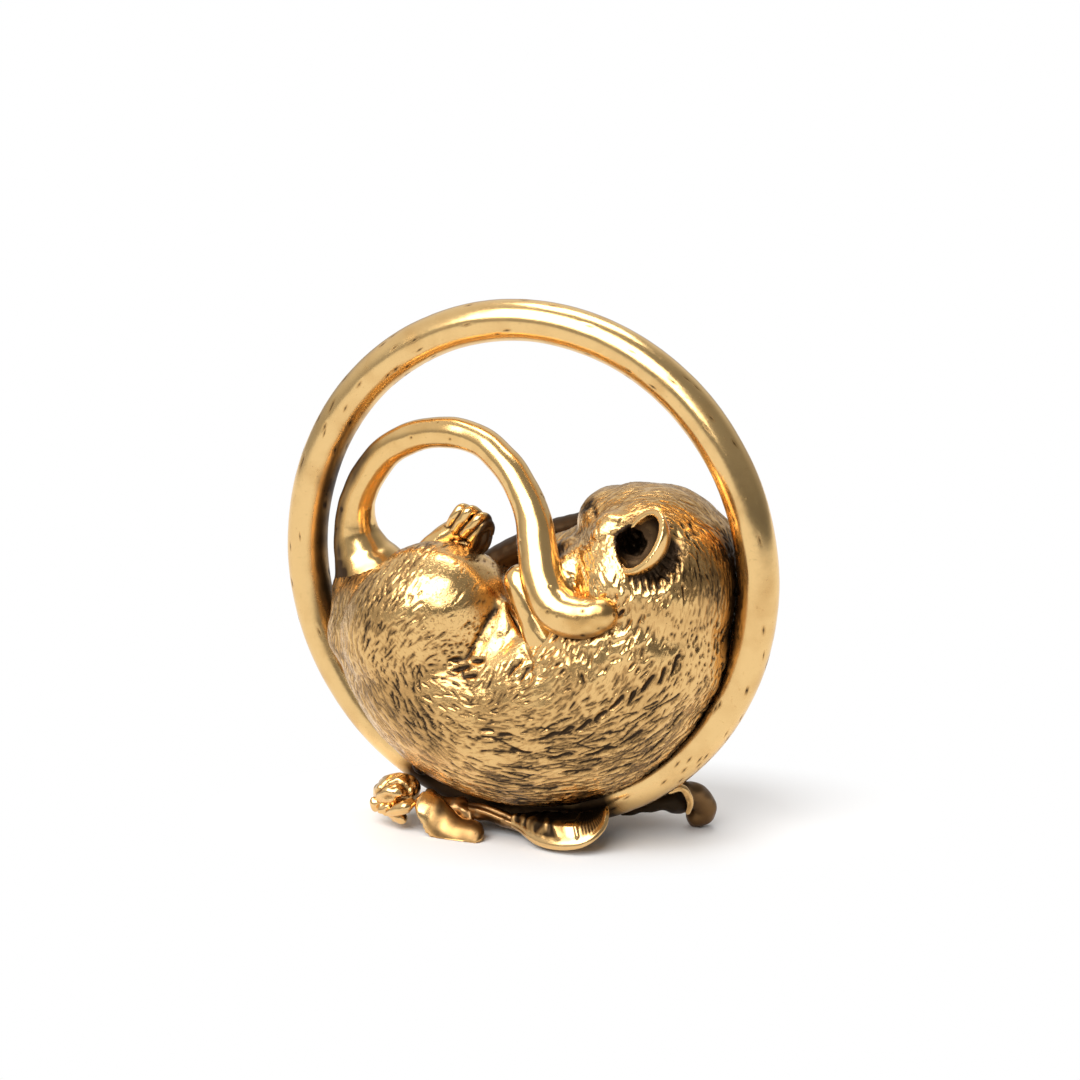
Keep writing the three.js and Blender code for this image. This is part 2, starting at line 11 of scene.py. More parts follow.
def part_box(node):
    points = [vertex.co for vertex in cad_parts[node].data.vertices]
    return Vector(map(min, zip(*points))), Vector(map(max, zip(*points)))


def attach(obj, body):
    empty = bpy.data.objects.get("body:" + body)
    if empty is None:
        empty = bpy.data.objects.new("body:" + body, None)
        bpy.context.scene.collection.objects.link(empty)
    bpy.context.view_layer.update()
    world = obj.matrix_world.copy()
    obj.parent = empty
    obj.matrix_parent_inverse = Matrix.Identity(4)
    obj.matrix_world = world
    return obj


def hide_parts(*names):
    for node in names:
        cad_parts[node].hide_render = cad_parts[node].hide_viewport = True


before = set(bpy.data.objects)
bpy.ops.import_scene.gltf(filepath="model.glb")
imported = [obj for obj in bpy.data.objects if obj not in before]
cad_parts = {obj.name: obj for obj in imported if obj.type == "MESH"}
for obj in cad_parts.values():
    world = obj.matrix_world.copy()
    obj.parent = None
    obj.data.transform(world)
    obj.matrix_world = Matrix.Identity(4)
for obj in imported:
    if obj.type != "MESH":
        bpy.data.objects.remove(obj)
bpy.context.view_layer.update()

# Shapes are drawn in millimetres and brought to metres when a piece is finished.
MM = 0.001
hoop_low, hoop_high = (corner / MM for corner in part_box("hoop"))
HOOP_OUTSIDE = (hoop_high.x - hoop_low.x) / 2
ROD = (hoop_high.y - hoop_low.y) / 2
HOOP_LINE = HOOP_OUTSIDE - ROD            # radius of the rod's middle line
HOOP_HEIGHT = (hoop_low.z + hoop_high.z) / 2

# The animal is drawn round the middle of the hoop and the leaves from the floor.
ANIMAL = Vector((0, 0, HOOP_HEIGHT))
FLOOR = Vector((0, 0, 0))
STANDS = 0.05                             # the lowest that a leaf's underside comes

# The camera in the animal's frame: the ways that its back, right side and top face, and its place.
AZIMUTH, ELEVATION = math.radians(24.07), math.radians(12.0)
CAMERA_BACK = Vector((math.sin(AZIMUTH) * math.cos(ELEVATION), -math.cos(AZIMUTH) * math.cos(ELEVATION),
                      math.sin(ELEVATION)))
CAMERA_RIGHTWARD = Vector((math.cos(AZIMUTH), math.sin(AZIMUTH), 0))
CAMERA_UPWARD = CAMERA_BACK.cross(CAMERA_RIGHTWARD)
CAMERA_PLACE = CAMERA_BACK * 300.0 + CAMERA_RIGHTWARD * 1.307 + CAMERA_UPWARD * 2.361
SENSOR, LENS = 36.0, 107.07
PHOTO_SIZE = 1080                         # the photograph's sides in pixels


# Tools of the bench

def only(*things):
    """Selects these things alone; the first is the active one."""
    bpy.ops.object.select_all(action="DESELECT")
    for thing in things:
        thing.select_set(True)
    bpy.context.view_layer.objects.active = things[0]


def take(name):
    """The thing that was just added, under its own name."""
    thing = bpy.context.object
    thing.name = name
    return thing


def settle(thing):
    """Puts a thing's place, turn and size into its mesh."""
    only(thing)
    bpy.ops.object.transform_apply(location=True, rotation=True, scale=True)
    return thing


def apply(thing, kind, **settings):
    """Adds a modifier and applies it."""
    only(thing)
    modifier = thing.modifiers.new(kind.lower(), kind)
    for key, value in settings.items():
        setattr(modifier, key, value)
    bpy.ops.object.modifier_apply(modifier=modifier.name)
    return thing


def face_outwards(thing):
    """Turns all faces of a closed shape outwards."""
    only(thing)
    bpy.ops.object.mode_set(mode="EDIT")
    bpy.ops.mesh.select_all(action="SELECT")
    bpy.ops.mesh.normals_make_consistent(inside=False)
    bpy.ops.object.mode_set(mode="OBJECT")
    return thing


def lump(at, radii, turn=(0, 0, 0)):
    """An egg of clay at a place, with its own radii, turned by angles in degrees."""
    bpy.ops.mesh.primitive_uv_sphere_add(
        segments=40, ring_count=24, location=at, scale=radii,
        rotation=[math.radians(a) for a in turn])
    return take("lump")


def roll(stations, widen=1.0, round_steps=7, ends=True):
    """A roll of clay through stations (x, y, z, radius), widened across the middle plane, with round ends."""
    bpy.ops.curve.primitive_bezier_curve_add()
    line = take("roll")
    line.data.dimensions = "3D"
    line.data.bevel_depth = 1.0
    line.data.bevel_resolution = round_steps
    line.data.use_fill_caps = True
    line.data.resolution_u = 8
    line.data.twist_mode = "Z_UP"
    line.location = (0, 0, 0)
    spline = line.data.splines[0]
    spline.bezier_points.add(len(stations) - 2)
    for point, (x, y, z, radius) in zip(spline.bezier_points, stations):
        point.co = (x, y, z)
        point.radius = radius
        point.handle_left_type = "AUTO"
        point.handle_right_type = "AUTO"
    only(line)
    bpy.ops.object.convert(target="MESH")
    made = [bpy.context.object]
    if ends:
        for x, y, z, radius in (stations[0], stations[-1]):
            made.append(lump((x, y, z), (radius, radius, radius)))
    whole = press(made)
    if widen != 1.0:
        only(whole)
        bpy.ops.transform.resize(value=(1, widen, 1), center_override=(0, 0, 0))
        settle(whole)
    return whole


def press(lumps):
    """Presses lumps of clay together into one thing."""
    only(*lumps)
    bpy.ops.object.transform_apply(location=True, rotation=True, scale=True)
    if len(lumps) > 1:
        bpy.ops.object.join()
    return bpy.context.object


def model(lumps, grain, smoothing=0, name="clay"):
    """Lumps pressed together, with an even skin of the given grain, smoothed over."""
    clay = press(lumps)
    clay.name = name
    apply(clay, "REMESH", mode="VOXEL", voxel_size=grain)
    if smoothing:
        apply(clay, "SMOOTH", factor=0.5, iterations=smoothing)
    return clay


def cut_away(clay, tool):
    """Cuts a tool's shape out of the clay."""
    apply(clay, "BOOLEAN", object=tool, operation="DIFFERENCE", solver="MANIFOLD")
    bpy.data.objects.remove(tool)
    return clay


def smooth_line(rows, share):
    """Values on a smooth line through rows, at shares from 0 to 1 of its way."""
    rows = np.array(rows, dtype=float)
    at = np.clip(share, 0, 1) * (len(rows) - 1)
    before = np.clip(at.astype(int), 0, len(rows) - 2)
    t = (at - before)[:, None]
    padded = np.vstack([2 * rows[0] - rows[1], rows, 2 * rows[-1] - rows[-2]])
    a, b, c, d = (padded[before + step] for step in range(4))
    square, cube = 2 * a - 5 * b + 4 * c - d, 3 * b - a - 3 * c + d
    return 0.5 * (2 * b + (c - a) * t + square * t ** 2 + cube * t ** 3)


def strap(rows, cup=0.0, bead=0.0, ends=0.12, around=48, along=96):
    """A leaf through rows (middle x y z, half width x y z, half thickness) with round ends.

    Returns it with each point's share of the way, its place across from -1 to 1, and its side, 1 on top."""
    bpy.ops.mesh.primitive_uv_sphere_add(segments=around, ring_count=along)
    thing = take("strap")
    points = points_of(thing)
    share = np.arccos(np.clip(points[:, 2], -1, 1)) / math.pi
    turn = np.arctan2(points[:, 1], points[:, 0])
    across, side = np.cos(turn), np.sin(turn)
    pinch = np.clip((np.abs(2 * share - 1) - (1 - 2 * ends)) / (2 * ends), 0, 1)
    full = np.sqrt(1 - pinch ** 2)
    here = smooth_line(rows, share)
    ahead = smooth_line(rows, share + 0.01)[:, :3] - smooth_line(rows, share - 0.01)[:, :3]
    width = here[:, 3:6]
    up = np.cross(ahead, width)
    up /= np.linalg.norm(up, axis=1)[:, None]
    if up[:, 2].mean() < 0:
        up = -up
    reach = np.linalg.norm(width, axis=1)
    thick = here[:, 6] * side * (1 + bead * bell(np.abs(across) - 0.8, 0.16))
    rise = (thick + cup * reach * (across ** 2 - 0.35)) * full
    move_points(thing, here[:, :3] + width * (across * full)[:, None] + up * rise[:, None])
    return face_outwards(thing), share, across, side


def with_side(stations, side, thickness):
    """Rows for a strap from stations (x, y, z, half width, share of thickness), wide along a side."""
    rows = []
    for index, (x, y, z, width, thick) in enumerate(stations):
        before = Vector(stations[max(index - 1, 0)][:3])
        after = Vector(stations[min(index + 1, len(stations) - 1)][:3])
        ahead = (after - before).normalized()
        out = Vector(side)
        out = (out - ahead * out.dot(ahead)).normalized() * width
        rows.append((x, y, z, *out, thick * thickness))
    return rows


def points_of(thing):
    """The places of all of a mesh's vertices, one row each."""
    places = np.empty(len(thing.data.vertices) * 3)
    thing.data.vertices.foreach_get("co", places)
    return places.reshape(-1, 3)


def normals_of(thing):
    """The outward direction at each of a mesh's vertices."""
    ways = np.empty(len(thing.data.vertices) * 3)
    thing.data.vertices.foreach_get("normal", ways)
    return ways.reshape(-1, 3)


def move_points(thing, places):
    """Puts all of a mesh's vertices in new places."""
    thing.data.vertices.foreach_set("co", places.ravel())
    thing.data.update()


def store_patina_and_shade(thing, values):
    """Stores at each vertex how dark the patina and the painted shade lie, from 0 to 1, for the finish to
    read.
    """
    layer = thing.data.attributes.get("depth") or thing.data.attributes.new("depth", "FLOAT", "POINT")
    layer.data.foreach_set("value", np.clip(values, 0, 1).astype(np.float32))


def unevenness(places, size, rng):
    """A smooth random height at each place, about -1 to 1, with bumps about size apart."""
    height = np.zeros(len(places))
    for _ in range(12):
        way = rng.normal(size=3)
        way *= math.tau / size * rng.uniform(0.7, 1.4) / np.linalg.norm(way)
        height += np.sin(places @ way + rng.uniform(0, math.tau))
    return height / 3.5


def bell(distance, width):
    """1 at no distance, fading smoothly to nothing past the width."""
    return np.exp(-(distance / width) ** 2)


def rising(values, start, over):
    """0 up to a start, and 1 from the given way past it."""
    return np.clip((values - start) / over, 0, 1)


def falling(values, end, over):
    """0 from an end on, and 1 from the given way before it."""
    return np.clip((end - values) / over, 0, 1)


def gap_to(places, path):
    """How far each place lies from a line through points, and at what share of the line."""
    nearest = np.full(len(places), 1e9)
    share = np.zeros(len(places))
    walked = 0.0
    for start, end in zip(path[:-1], path[1:]):
        edge = end - start
        length = np.linalg.norm(edge)
        t = np.clip((places - start) @ edge / length ** 2, 0, 1)
        gap = np.linalg.norm(places - start - t[:, None] * edge, axis=1)
        closer = gap < nearest
        nearest[closer] = gap[closer]
        share[closer] = walked + t[closer] * length
        walked += length
    return nearest, share / walked


def averaged(values, thing, rounds):
    """Values at the vertices, evened out with those next to them."""
    ends = np.empty(len(thing.data.edges) * 2, dtype=np.int32)
    thing.data.edges.foreach_get("vertices", ends)
    a, b = ends[0::2], ends[1::2]
    count = len(values)
    degree = np.bincount(a, minlength=count) + np.bincount(b, minlength=count)
    for _ in range(rounds):
        columns = []
        for column in values.T:
            near = np.bincount(a, column[b], count) + np.bincount(b, column[a], count)
            columns.append(0.5 * column + 0.5 * near / degree)
        values = np.stack(columns, axis=1)
    return values


def hollows(thing, rounds):
    """How far each vertex lies below its surroundings evened out, in millimetres."""
    places = points_of(thing)
    return ((averaged(places, thing, rounds) - places) * normals_of(thing)).sum(1)


def sight(px, py):
    """The way that the camera looks through a pixel of the photograph's frame."""
    across = (px / PHOTO_SIZE - 0.5) * SENSOR / LENS
    rise = (0.5 - py / PHOTO_SIZE) * SENSOR / LENS
    return (CAMERA_RIGHTWARD * across + CAMERA_UPWARD * rise - CAMERA_BACK).normalized()


def at_pixel(px, py, y):
    """The point at depth y that the camera sees at a pixel, in the animal's frame."""
    way = sight(px, py)
    return CAMERA_PLACE + way * ((y - CAMERA_PLACE.y) / way.y)


def by_eye(stations, home=Vector((0, 0, 0))):
    """Stations for a roll from ((pixel), depth y, radius); home brings them to the frame of the leaves."""
    return [(*(at_pixel(px, py, y) + home), radius) for (px, py), y, radius in stations]


def middle_line(stations):
    """The middle points of a roll's stations."""
    return [np.array(row[:3]) for row in stations]


def pixels_of(places):
    """Where the camera sees places of the animal's frame: their pixels across and down."""
    away = places - np.array(CAMERA_PLACE)
    reach = -away @ np.array(CAMERA_BACK)
    scale = PHOTO_SIZE * LENS / SENSOR
    across = PHOTO_SIZE / 2 + scale * (away @ np.array(CAMERA_RIGHTWARD)) / reach
    down = PHOTO_SIZE / 2 - scale * (away @ np.array(CAMERA_UPWARD)) / reach
    return across, down


class Sculpture:
    """Clay that is being tooled: its points, the ways they face, and its ink: the patina that the cuts hold,
    with painted shade and painted highlights.
    """

    def __init__(self, thing):
        self.thing = thing
        self.places = points_of(thing)
        self.ways = normals_of(thing)
        self.ink = np.zeros(len(self.places))
        self.tree = BVHTree.FromPolygons([v.co for v in thing.data.vertices],
                                         [p.vertices for p in thing.data.polygons])

    def seen(self, px, py):
        """The point of the surface, and the way it faces, that the camera sees at a pixel."""
        point, way, _, _ = self.tree.ray_cast(CAMERA_PLACE, sight(px, py))
        return point, way

    def trace(self, pixels):
        """The points of the surface that the camera sees along a line of pixels."""
        found = [self.seen(px, py)[0] for px, py in pixels]
        return [np.array(point) for point in found if point is not None]

    def push(self, heights):
        """Moves each point outwards by its own height, or inwards by one below 0."""
        self.places += self.ways * heights[:, None]

    def roughen(self, height, size, rng, lift=0.0):
        """Makes the surface uneven, with bumps of a height that stand about size apart."""
        self.push(height * unevenness(self.places, size, rng) + lift)

    def carve(self, path, width, depth, ink=1.0, ends=0.25):
        """Presses a groove along a path, shallower at its ends."""
        gap, share = gap_to(self.places, path)
        cut = bell(gap, width) * np.clip(np.minimum(share, 1 - share) / ends + 0.15, 0, 1)
        self.push(-depth * cut)
        self.ink = np.maximum(self.ink, ink * cut)

    def swell(self, at, radius, height):
        """Raises a soft bump at a point."""
        self.push(height * bell(np.linalg.norm(self.places - np.array(at), axis=1), radius))

    def shade(self, at, radius, amount):
        """Darkens round a point with patina and painted shade, or with an amount below 0 paints a highlight
        there.
        """
        self.ink += amount * bell(np.linalg.norm(self.places - np.array(at), axis=1), radius)

    def stand_on_floor(self):
        """Flattens what would reach below the floor."""
        self.places[:, 2] = np.maximum(self.places[:, 2], STANDS)

    def update(self):
        """Brings the mesh up to date with the tooling."""
        move_points(self.thing, self.places)
        self.ways = normals_of(self.thing)

    def darken_hollows(self, rounds, full):
        """Lets patina gather where the surface lies lower than its surroundings by up to a full depth."""
        self.update()
        self.ink += np.clip(hollows(self.thing, rounds) / full, 0, 1)

    def paint_contact_shade(self, other, reach, amount):
        """Paints shade where another thing stands close, as the shadow between the parts."""
        tree = BVHTree.FromPolygons([v.co for v in other.data.vertices],
                                    [p.vertices for p in other.data.polygons])
        low, high = points_of(other).min(0) - 3 * reach, points_of(other).max(0) + 3 * reach
        for index in np.flatnonzero(((self.places > low) & (self.places < high)).all(1)):
            gap = tree.find_nearest(self.places[index], 3 * reach)[3]
            if gap is not None:
                self.ink[index] += amount * math.exp(-(gap / reach) ** 2)


def finish_piece(thing, name, node, slot, home):
    """Brings a piece to its place in metres, dresses it and seats it in the frame."""
    thing.name = name
    settle(thing)
    thing.data.transform(Matrix.Scale(MM, 4) @ Matrix.Translation(home))
    bpy.ops.object.shade_smooth()
    thing.data.materials.clear()
    thing.data.materials.append(finishes[slot])
    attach(thing, "root")
    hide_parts(node)


# Finishes

class Wiring:
    """The shader nodes of a material or of the world."""

    def __init__(self, owner, bare=False):
        owner.use_nodes = True
        self.nodes, self.links = owner.node_tree.nodes, owner.node_tree.links
        if bare:
            self.nodes.clear()

    def feed(self, node, inputs):
        """Puts plain values, or what other nodes give, into a node's inputs."""
        for key, value in inputs.items():
            if isinstance(value, bpy.types.NodeSocket):
                self.links.new(value, node.inputs[key])
            else:
                node.inputs[key].default_value = value

    def add(self, kind, inputs=None, **settings):
        """A new node of a kind, with its settings and inputs; returns its outputs."""
        node = self.nodes.new("ShaderNode" + kind)
        for key, value in settings.items():
            setattr(node, key, value)
        self.feed(node, inputs or {})
        return node.outputs

    def maths(self, operation, a, b=0.0, clamp=False):
        """One step of reckoning with two values."""
        return self.add("Math", {0: a, 1: b}, operation=operation, use_clamp=clamp)[0]

    def kept(self, operation, a, b):
        """The same, kept between 0 and 1."""
        return self.maths(operation, a, b, clamp=True)

    def noise(self, place, scale, detail, roughness=0.5):
        """Cloudy noise."""
        return self.add("TexNoise", {"Vector": place, "Scale": scale, "Detail": detail,
                                     "Roughness": roughness})["Fac"]

    def spread(self, value, start, end, low, high, shape="LINEAR"):
        """A value between a start and an end, brought between a low and a high one."""
        return self.add("MapRange", {"Value": value, "From Min": start, "From Max": end, "To Min": low,
                                     "To Max": high}, interpolation_type=shape)["Result"]


# How many stains and how many specks stand side by side in a metre of brass
STAINS, SPECKS = 230.0, 2600.0
GRAIN_DEPTH = 0.05 * MM
# The fine hair lines: how many fit round the back to a radian, and across it to a metre
HAIR_ROUND, HAIR_ACROSS = 16.0, 4200.0
# Where the four tones of a brass lie, from no tarnish to all
TONES_AT = (0.0, 0.30, 0.62, 0.95)


def brass(name, bright, mid, dark, roughness, grain, blotch, hair=0.0):
    """Patinated brass: polished where it stands proud, and dark brown where it lies deep and where shade is
    painted.

    With hair, fine dark lines run round the curl of the back."""
    material = bpy.data.materials.new(name)
    wiring = Wiring(material)
    maths, kept = wiring.maths, wiring.kept
    place = wiring.add("TexCoord")["Object"]
    depth = wiring.add("Attribute", attribute_name="depth")["Fac"]
    specks = wiring.noise(place, SPECKS, 5, 0.6)
    stains = kept("MULTIPLY", kept("SUBTRACT", wiring.noise(place, STAINS, 6, 0.6), 0.50), blotch)
    freckles = kept("MULTIPLY", kept("SUBTRACT", specks, 0.62), 2.2)
    tarnish = kept("ADD", kept("ADD", depth, stains), freckles)
    height = specks
    if hair:
        across, outward, upward = wiring.add("SeparateXYZ", {0: place})
        fallen = maths("SUBTRACT", upward, HOOP_HEIGHT * MM)
        turn = maths("ARCTAN2", across, fallen)
        squares = maths("ADD", maths("MULTIPLY", across, across), maths("MULTIPLY", fallen, fallen))
        reach = maths("SQRT", squares)
        strand = wiring.add("CombineXYZ", {0: maths("MULTIPLY", turn, HAIR_ROUND),
                                           1: maths("MULTIPLY", reach, HAIR_ACROSS),
                                           2: maths("MULTIPLY", outward, HAIR_ACROSS)})[0]
        drawn = kept("MULTIPLY", kept("SUBTRACT", wiring.noise(strand, 1.0, 3), 0.53), 6.0)
        tarnish = kept("ADD", tarnish, kept("MULTIPLY", drawn, hair))
        height = maths("SUBTRACT", specks, maths("MULTIPLY", drawn, 1.5))
    tones = wiring.nodes.new("ShaderNodeValToRGB")
    while len(tones.color_ramp.elements) < len(TONES_AT):
        tones.color_ramp.elements.new(0.5)
    middle = tuple(0.5 * (m + d) for m, d in zip(mid, dark))
    for element, at, colour in zip(tones.color_ramp.elements, TONES_AT, (bright, mid, middle, dark)):
        element.position = at
        element.color = (*colour, 1)
    wiring.feed(tones, {"Fac": tarnish})
    gloss = kept("ADD", kept("MULTIPLY", tarnish, 0.26), kept("MULTIPLY", specks, 0.10))
    bump = wiring.add("Bump", {"Strength": grain, "Distance": GRAIN_DEPTH, "Height": height})
    wiring.feed(wiring.nodes["Principled BSDF"], {
        "Metallic": 1.0, "Base Color": tones.outputs["Color"], "Roughness": kept("ADD", gloss, roughness),
        "Normal": bump["Normal"]})
    return material


# Each brass: its bright, middle and dark tones, roughness, grain, stains and hair lines
BRASSES = {
    "hoop_brass": ((0.87, 0.58, 0.25), (0.72, 0.44, 0.17), (0.05, 0.03, 0.016), 0.15, 0.10, 0.8),
    "smooth_brass": ((0.86, 0.56, 0.23), (0.70, 0.42, 0.15), (0.07, 0.04, 0.02), 0.13, 0.10, 0.9),
    "fur_brass": ((0.84, 0.54, 0.22), (0.60, 0.35, 0.13), (0.045, 0.028, 0.016), 0.14, 0.16, 1.3, 0.32),
    "leaf_brass": ((0.82, 0.53, 0.23), (0.60, 0.35, 0.13), (0.05, 0.03, 0.015), 0.16, 0.20, 1.2),
    # A darker copy of the leaf brass, as painted shade, for the pieces in the shadow behind and under the
    # figurine.
    "dark_brass": ((0.42, 0.24, 0.10), (0.20, 0.11, 0.045), (0.03, 0.02, 0.012), 0.24, 0.35, 1.4),
}
finishes = {name: brass(name, *values) for name, values in BRASSES.items()}


# Hoop

SEAM_PIXELS = [(726, 520), (736, 516), (746, 513)]      # the butt joint that closes the rod
SEAM_WIDTH, SEAM_DEPTH = 0.09, 0.07
# Casting pits: the least and largest radius; and how many lie between two corners of a box
PIT_RADII = (0.07, 0.15)
WIDE = HOOP_OUTSIDE + 1
HOOP_PITS = [
    (70, (-WIDE, -WIDE, -WIDE), (WIDE, 0, WIDE)), (45, (10, -WIDE, -WIDE), (WIDE, WIDE, 5)),
    (30, (-WIDE, -WIDE, 8), (-8, WIDE, WIDE)), (60, (-WIDE, 0, -WIDE), (WIDE, WIDE, WIDE)),
]


def pit(sculpture, rng, count, low, high):
    """Scatters small casting pits over the surface between two corners of a box."""
    inside = np.flatnonzero(((sculpture.places > low) & (sculpture.places < high)).all(1))
    if not len(inside):
        return
    for index in rng.choice(inside, count):
        at = sculpture.places[index]
        radius = rng.uniform(*PIT_RADII)
        gap = np.linalg.norm(sculpture.places - at, axis=1)
        hole = bell(gap, radius)
        sculpture.push(-0.5 * radius * hole)
        sculpture.ink = np.maximum(sculpture.ink, 0.9 * hole)


def hoop():
    """A round rod bent to a ring, closed with a butt joint at the right."""
    bpy.ops.mesh.primitive_torus_add(
        major_radius=HOOP_LINE, minor_radius=ROD, major_segments=1100, minor_segments=80,
        rotation=(math.radians(90), 0, 0))
    ring = settle(take("hoop"))
    rng = np.random.default_rng(3)
    rod = Sculpture(ring)
    rod.roughen(0.018, 6.0, rng, lift=-0.01)
    rod.roughen(0.004, 1.6, rng)
    middle = np.mean(rod.trace(SEAM_PIXELS), axis=0)
    out = middle * (1, 0, 1) / np.linalg.norm(middle * (1, 0, 1))
    round_the_ring = np.array((-out[2], 0, out[0]))
    offset = (rod.places - out * HOOP_LINE) @ round_the_ring
    close = np.linalg.norm(rod.places - out * HOOP_LINE, axis=1) < 2 * ROD
    seam = bell(offset + 0.05 * rod.places[:, 1], SEAM_WIDTH) * close
    rod.push(-SEAM_DEPTH * seam)
    rod.ink = 0.85 * seam
    for count, low, high in HOOP_PITS:
        pit(rod, rng, count, low, high)
    rod.update()
    inner = np.clip((HOOP_LINE - np.linalg.norm(rod.places[:, [0, 2]], axis=1)) / ROD, 0, 1)
    rod.ink += 0.10 * inner ** 2 + 0.08 * unevenness(rod.places, 3.0, rng)
    turn = np.degrees(np.arctan2(rod.places[:, 0], -rod.places[:, 2]))
    # Painted shadow where the rod runs under the belly.
    rod.ink += 0.95 * rising(turn, -33, 5) * falling(turn, 26, 3)       # in the dark under the belly
    x, z = rod.places[:, 0], rod.places[:, 2]
    # Painted shade on the rod's inner side, where the tail lies against it.
    shaded_beside_tail = falling(x, -14.5, 2) * rising(z, -7, 3)
    rod.ink += 0.75 * np.clip(1.8 * inner - 0.7, 0, 1) * shaded_beside_tail * falling(z, 14, 6)
    store_patina_and_shade(ring, rod.ink)
    return ring


# Tail: up from the rump, over in an arch and down to the cheek. Its root by pixel, depth and radius, and the
# rest by x, y, z and radius.
TAIL_ROOT = [
    ((379, 590), 0.2, 4.4), ((369.5, 568), -0.1, 3.6), ((361, 548), -0.3, 2.66), ((356.5, 529), -0.5, 2.08),
    ((356, 512), -0.7, 1.80),
]
TAIL = [
    (-16.95, -1.0, 5.4, 1.64), (-14.95, -1.7, 8.5, 1.55), (-11.7, -2.5, 11.2, 1.46), (-7.3, -3.3, 12.6, 1.40),
    (-3.2, -4.0, 12.4, 1.40), (-0.25, -5.0, 10.95, 1.43), (2.15, -6.0, 8.8, 1.48), (3.8, -7.0, 6.4, 1.60),
    (4.9, -8.2, 3.5, 1.80), (6.0, -9.4, 0.7, 1.95), (7.6, -10.2, -1.2, 2.05), (9.6, -10.6, -1.75, 1.95),
    (11.2, -10.6, -1.55, 1.75), (12.1, -10.55, -1.25, 1.55),
]
ROOT_SHADE_PIXEL = (400, 559)         # painted shade where the tail meets the rump: left of this pixel and below it


def tail():
    """The smooth round tail, with a few pits and soft facets along it."""
    clay = model([roll(by_eye(TAIL_ROOT) + TAIL, round_steps=15)], 0.14, 10, "tail")
    rng = np.random.default_rng(4)
    skin = Sculpture(clay)
    skin.roughen(0.03, 4.5, rng, lift=0.04)
    skin.roughen(0.004, 1.4, rng)
    pit(skin, rng, 60, (-30, -30, -30), (30, 30, 30))
    skin.update()
    x, y, z = skin.places.T
    skin.ink += 0.08 * unevenness(skin.places, 2.5, rng)
    # Painted dark reflection on the flank that faces the viewer's left.
    dark_left_flank = rising(skin.ways @ -np.array(CAMERA_RIGHTWARD), 0.45, 0.3)
    skin.ink += 0.8 * dark_left_flank * falling(x, -13, 2) * (y < 3)
    blunt_end = rising(x, 8.6, 2.5) * (z < 3)
    skin.ink += blunt_end * (0.30 + 0.12 * unevenness(skin.places, 1.2, rng))
    px, py = pixels_of(skin.places)
    # Painted shade at the tail's root, where it meets the rump.
    painted_root_shade = rising(py, ROOT_SHADE_PIXEL[1], 9) * (px < ROOT_SHADE_PIXEL[0])
    skin.ink += painted_root_shade * (0.42 + 0.25 * unevenness(skin.places, 1.6, rng))
    # Painted shade on the underside of the tail's end.
    shaded_end_underside = rising(x, 5, 2) * np.clip(-skin.ways[:, 2] - 0.5, 0, 1)
    skin.ink += 1.2 * shaded_end_underside * (z < 3)
    store_patina_and_shade(clay, skin.ink)
    return clay


# Ears. The mouth faces out to the side; the near ear's y is turned round.
EAR_AT, EAR_MOUTH, EAR_TIP = (14.8, 8.3, 5.2), (-0.456, 0.722, 0.51), (0.37, -0.364, 0.856)
EAR_SIZE, EAR_WALL = (2.8, 3.25, 2.6), 0.68       # half width, half length and depth; and the wall
# The ear's canal: pixel, depth and radius
CANAL = [((629, 542), -10.4, 1.3), ((630, 542), -8.4, 1.3), ((632, 542), -6.8, 1.2), ((634, 543), -5.2, 0.9)]
FAR_EAR_DROP = 3.8                # how much lower the far ear sits
EAR_GRAIN = 0.11


def ear_frame(way):
    """The turn and place of an ear; way is -1 for the near one."""
    mouth = Vector((EAR_MOUTH[0], EAR_MOUTH[1] * way, EAR_MOUTH[2])).normalized()
    tip = Vector((EAR_TIP[0], EAR_TIP[1] * way, EAR_TIP[2]))
    tip = (tip - mouth * tip.dot(mouth)).normalized()
    turn = Matrix((tip.cross(mouth), tip, mouth)).transposed().to_4x4()
    drop = FAR_EAR_DROP if way > 0 else 0.0
    return Matrix.Translation((EAR_AT[0], EAR_AT[1] * way, EAR_AT[2] - drop)) @ turn


def canal_path(way):
    """The stations of an ear's canal, which runs in from the side that the viewer sees."""
    near = by_eye(CANAL)
    return near if way < 0 else [(x, -y, z - FAR_EAR_DROP, radius) for x, y, z, radius in near]


def canal_drill(way):
    """A rough-walled tool in the canal's shape."""
    drill = model([roll(canal_path(way))], 0.15, 2, "drill")
    shape = Sculpture(drill)
    shape.roughen(0.22, 1.0, np.random.default_rng(5))
    shape.update()
    return drill


def ear(way):
    """A cup with a thick rounded rim, smooth and dark inside, and open to the canal."""
    bpy.ops.mesh.primitive_uv_sphere_add(
        segments=64, ring_count=48, scale=EAR_SIZE)
    cup = settle(take("ear"))
    bpy.ops.object.mode_set(mode="EDIT")
    bpy.ops.mesh.select_all(action="SELECT")
    bpy.ops.mesh.bisect(plane_co=(0, 0, 0), plane_no=(0, 0, 1), clear_outer=True)
    bpy.ops.object.mode_set(mode="OBJECT")
    apply(cup, "SOLIDIFY", thickness=EAR_WALL, offset=-1)
    cup.data.transform(ear_frame(way))
    apply(cup, "REMESH", mode="VOXEL", voxel_size=EAR_GRAIN)
    cut_away(cup, canal_drill(way))
    apply(cup, "REMESH", mode="VOXEL", voxel_size=EAR_GRAIN)
    apply(cup, "SMOOTH", factor=0.5, iterations=6)
    placed = np.array(ear_frame(way).inverted())
    local = points_of(cup) @ placed[:3, :3].T + placed[:3, 3]
    outward = np.linalg.norm(local / np.array(EAR_SIZE), axis=1)
    inside = falling(outward, 0.88, 0.08) * rising(-local[:, 2], 0.1, 0.5)
    skirt = rising(outward, 0.9, 0.05) * rising(-local[:, 2], 0.7, 0.8)
    in_canal = gap_to(points_of(cup), middle_line(canal_path(way)))[0] < 1.7
    # The canal's walls are painted black, as the shade in the hole.
    store_patina_and_shade(cup, 0.92 * inside + 0.55 * skirt + 0.9 * in_canal * (local[:, 2] < -0.2))
    return cup


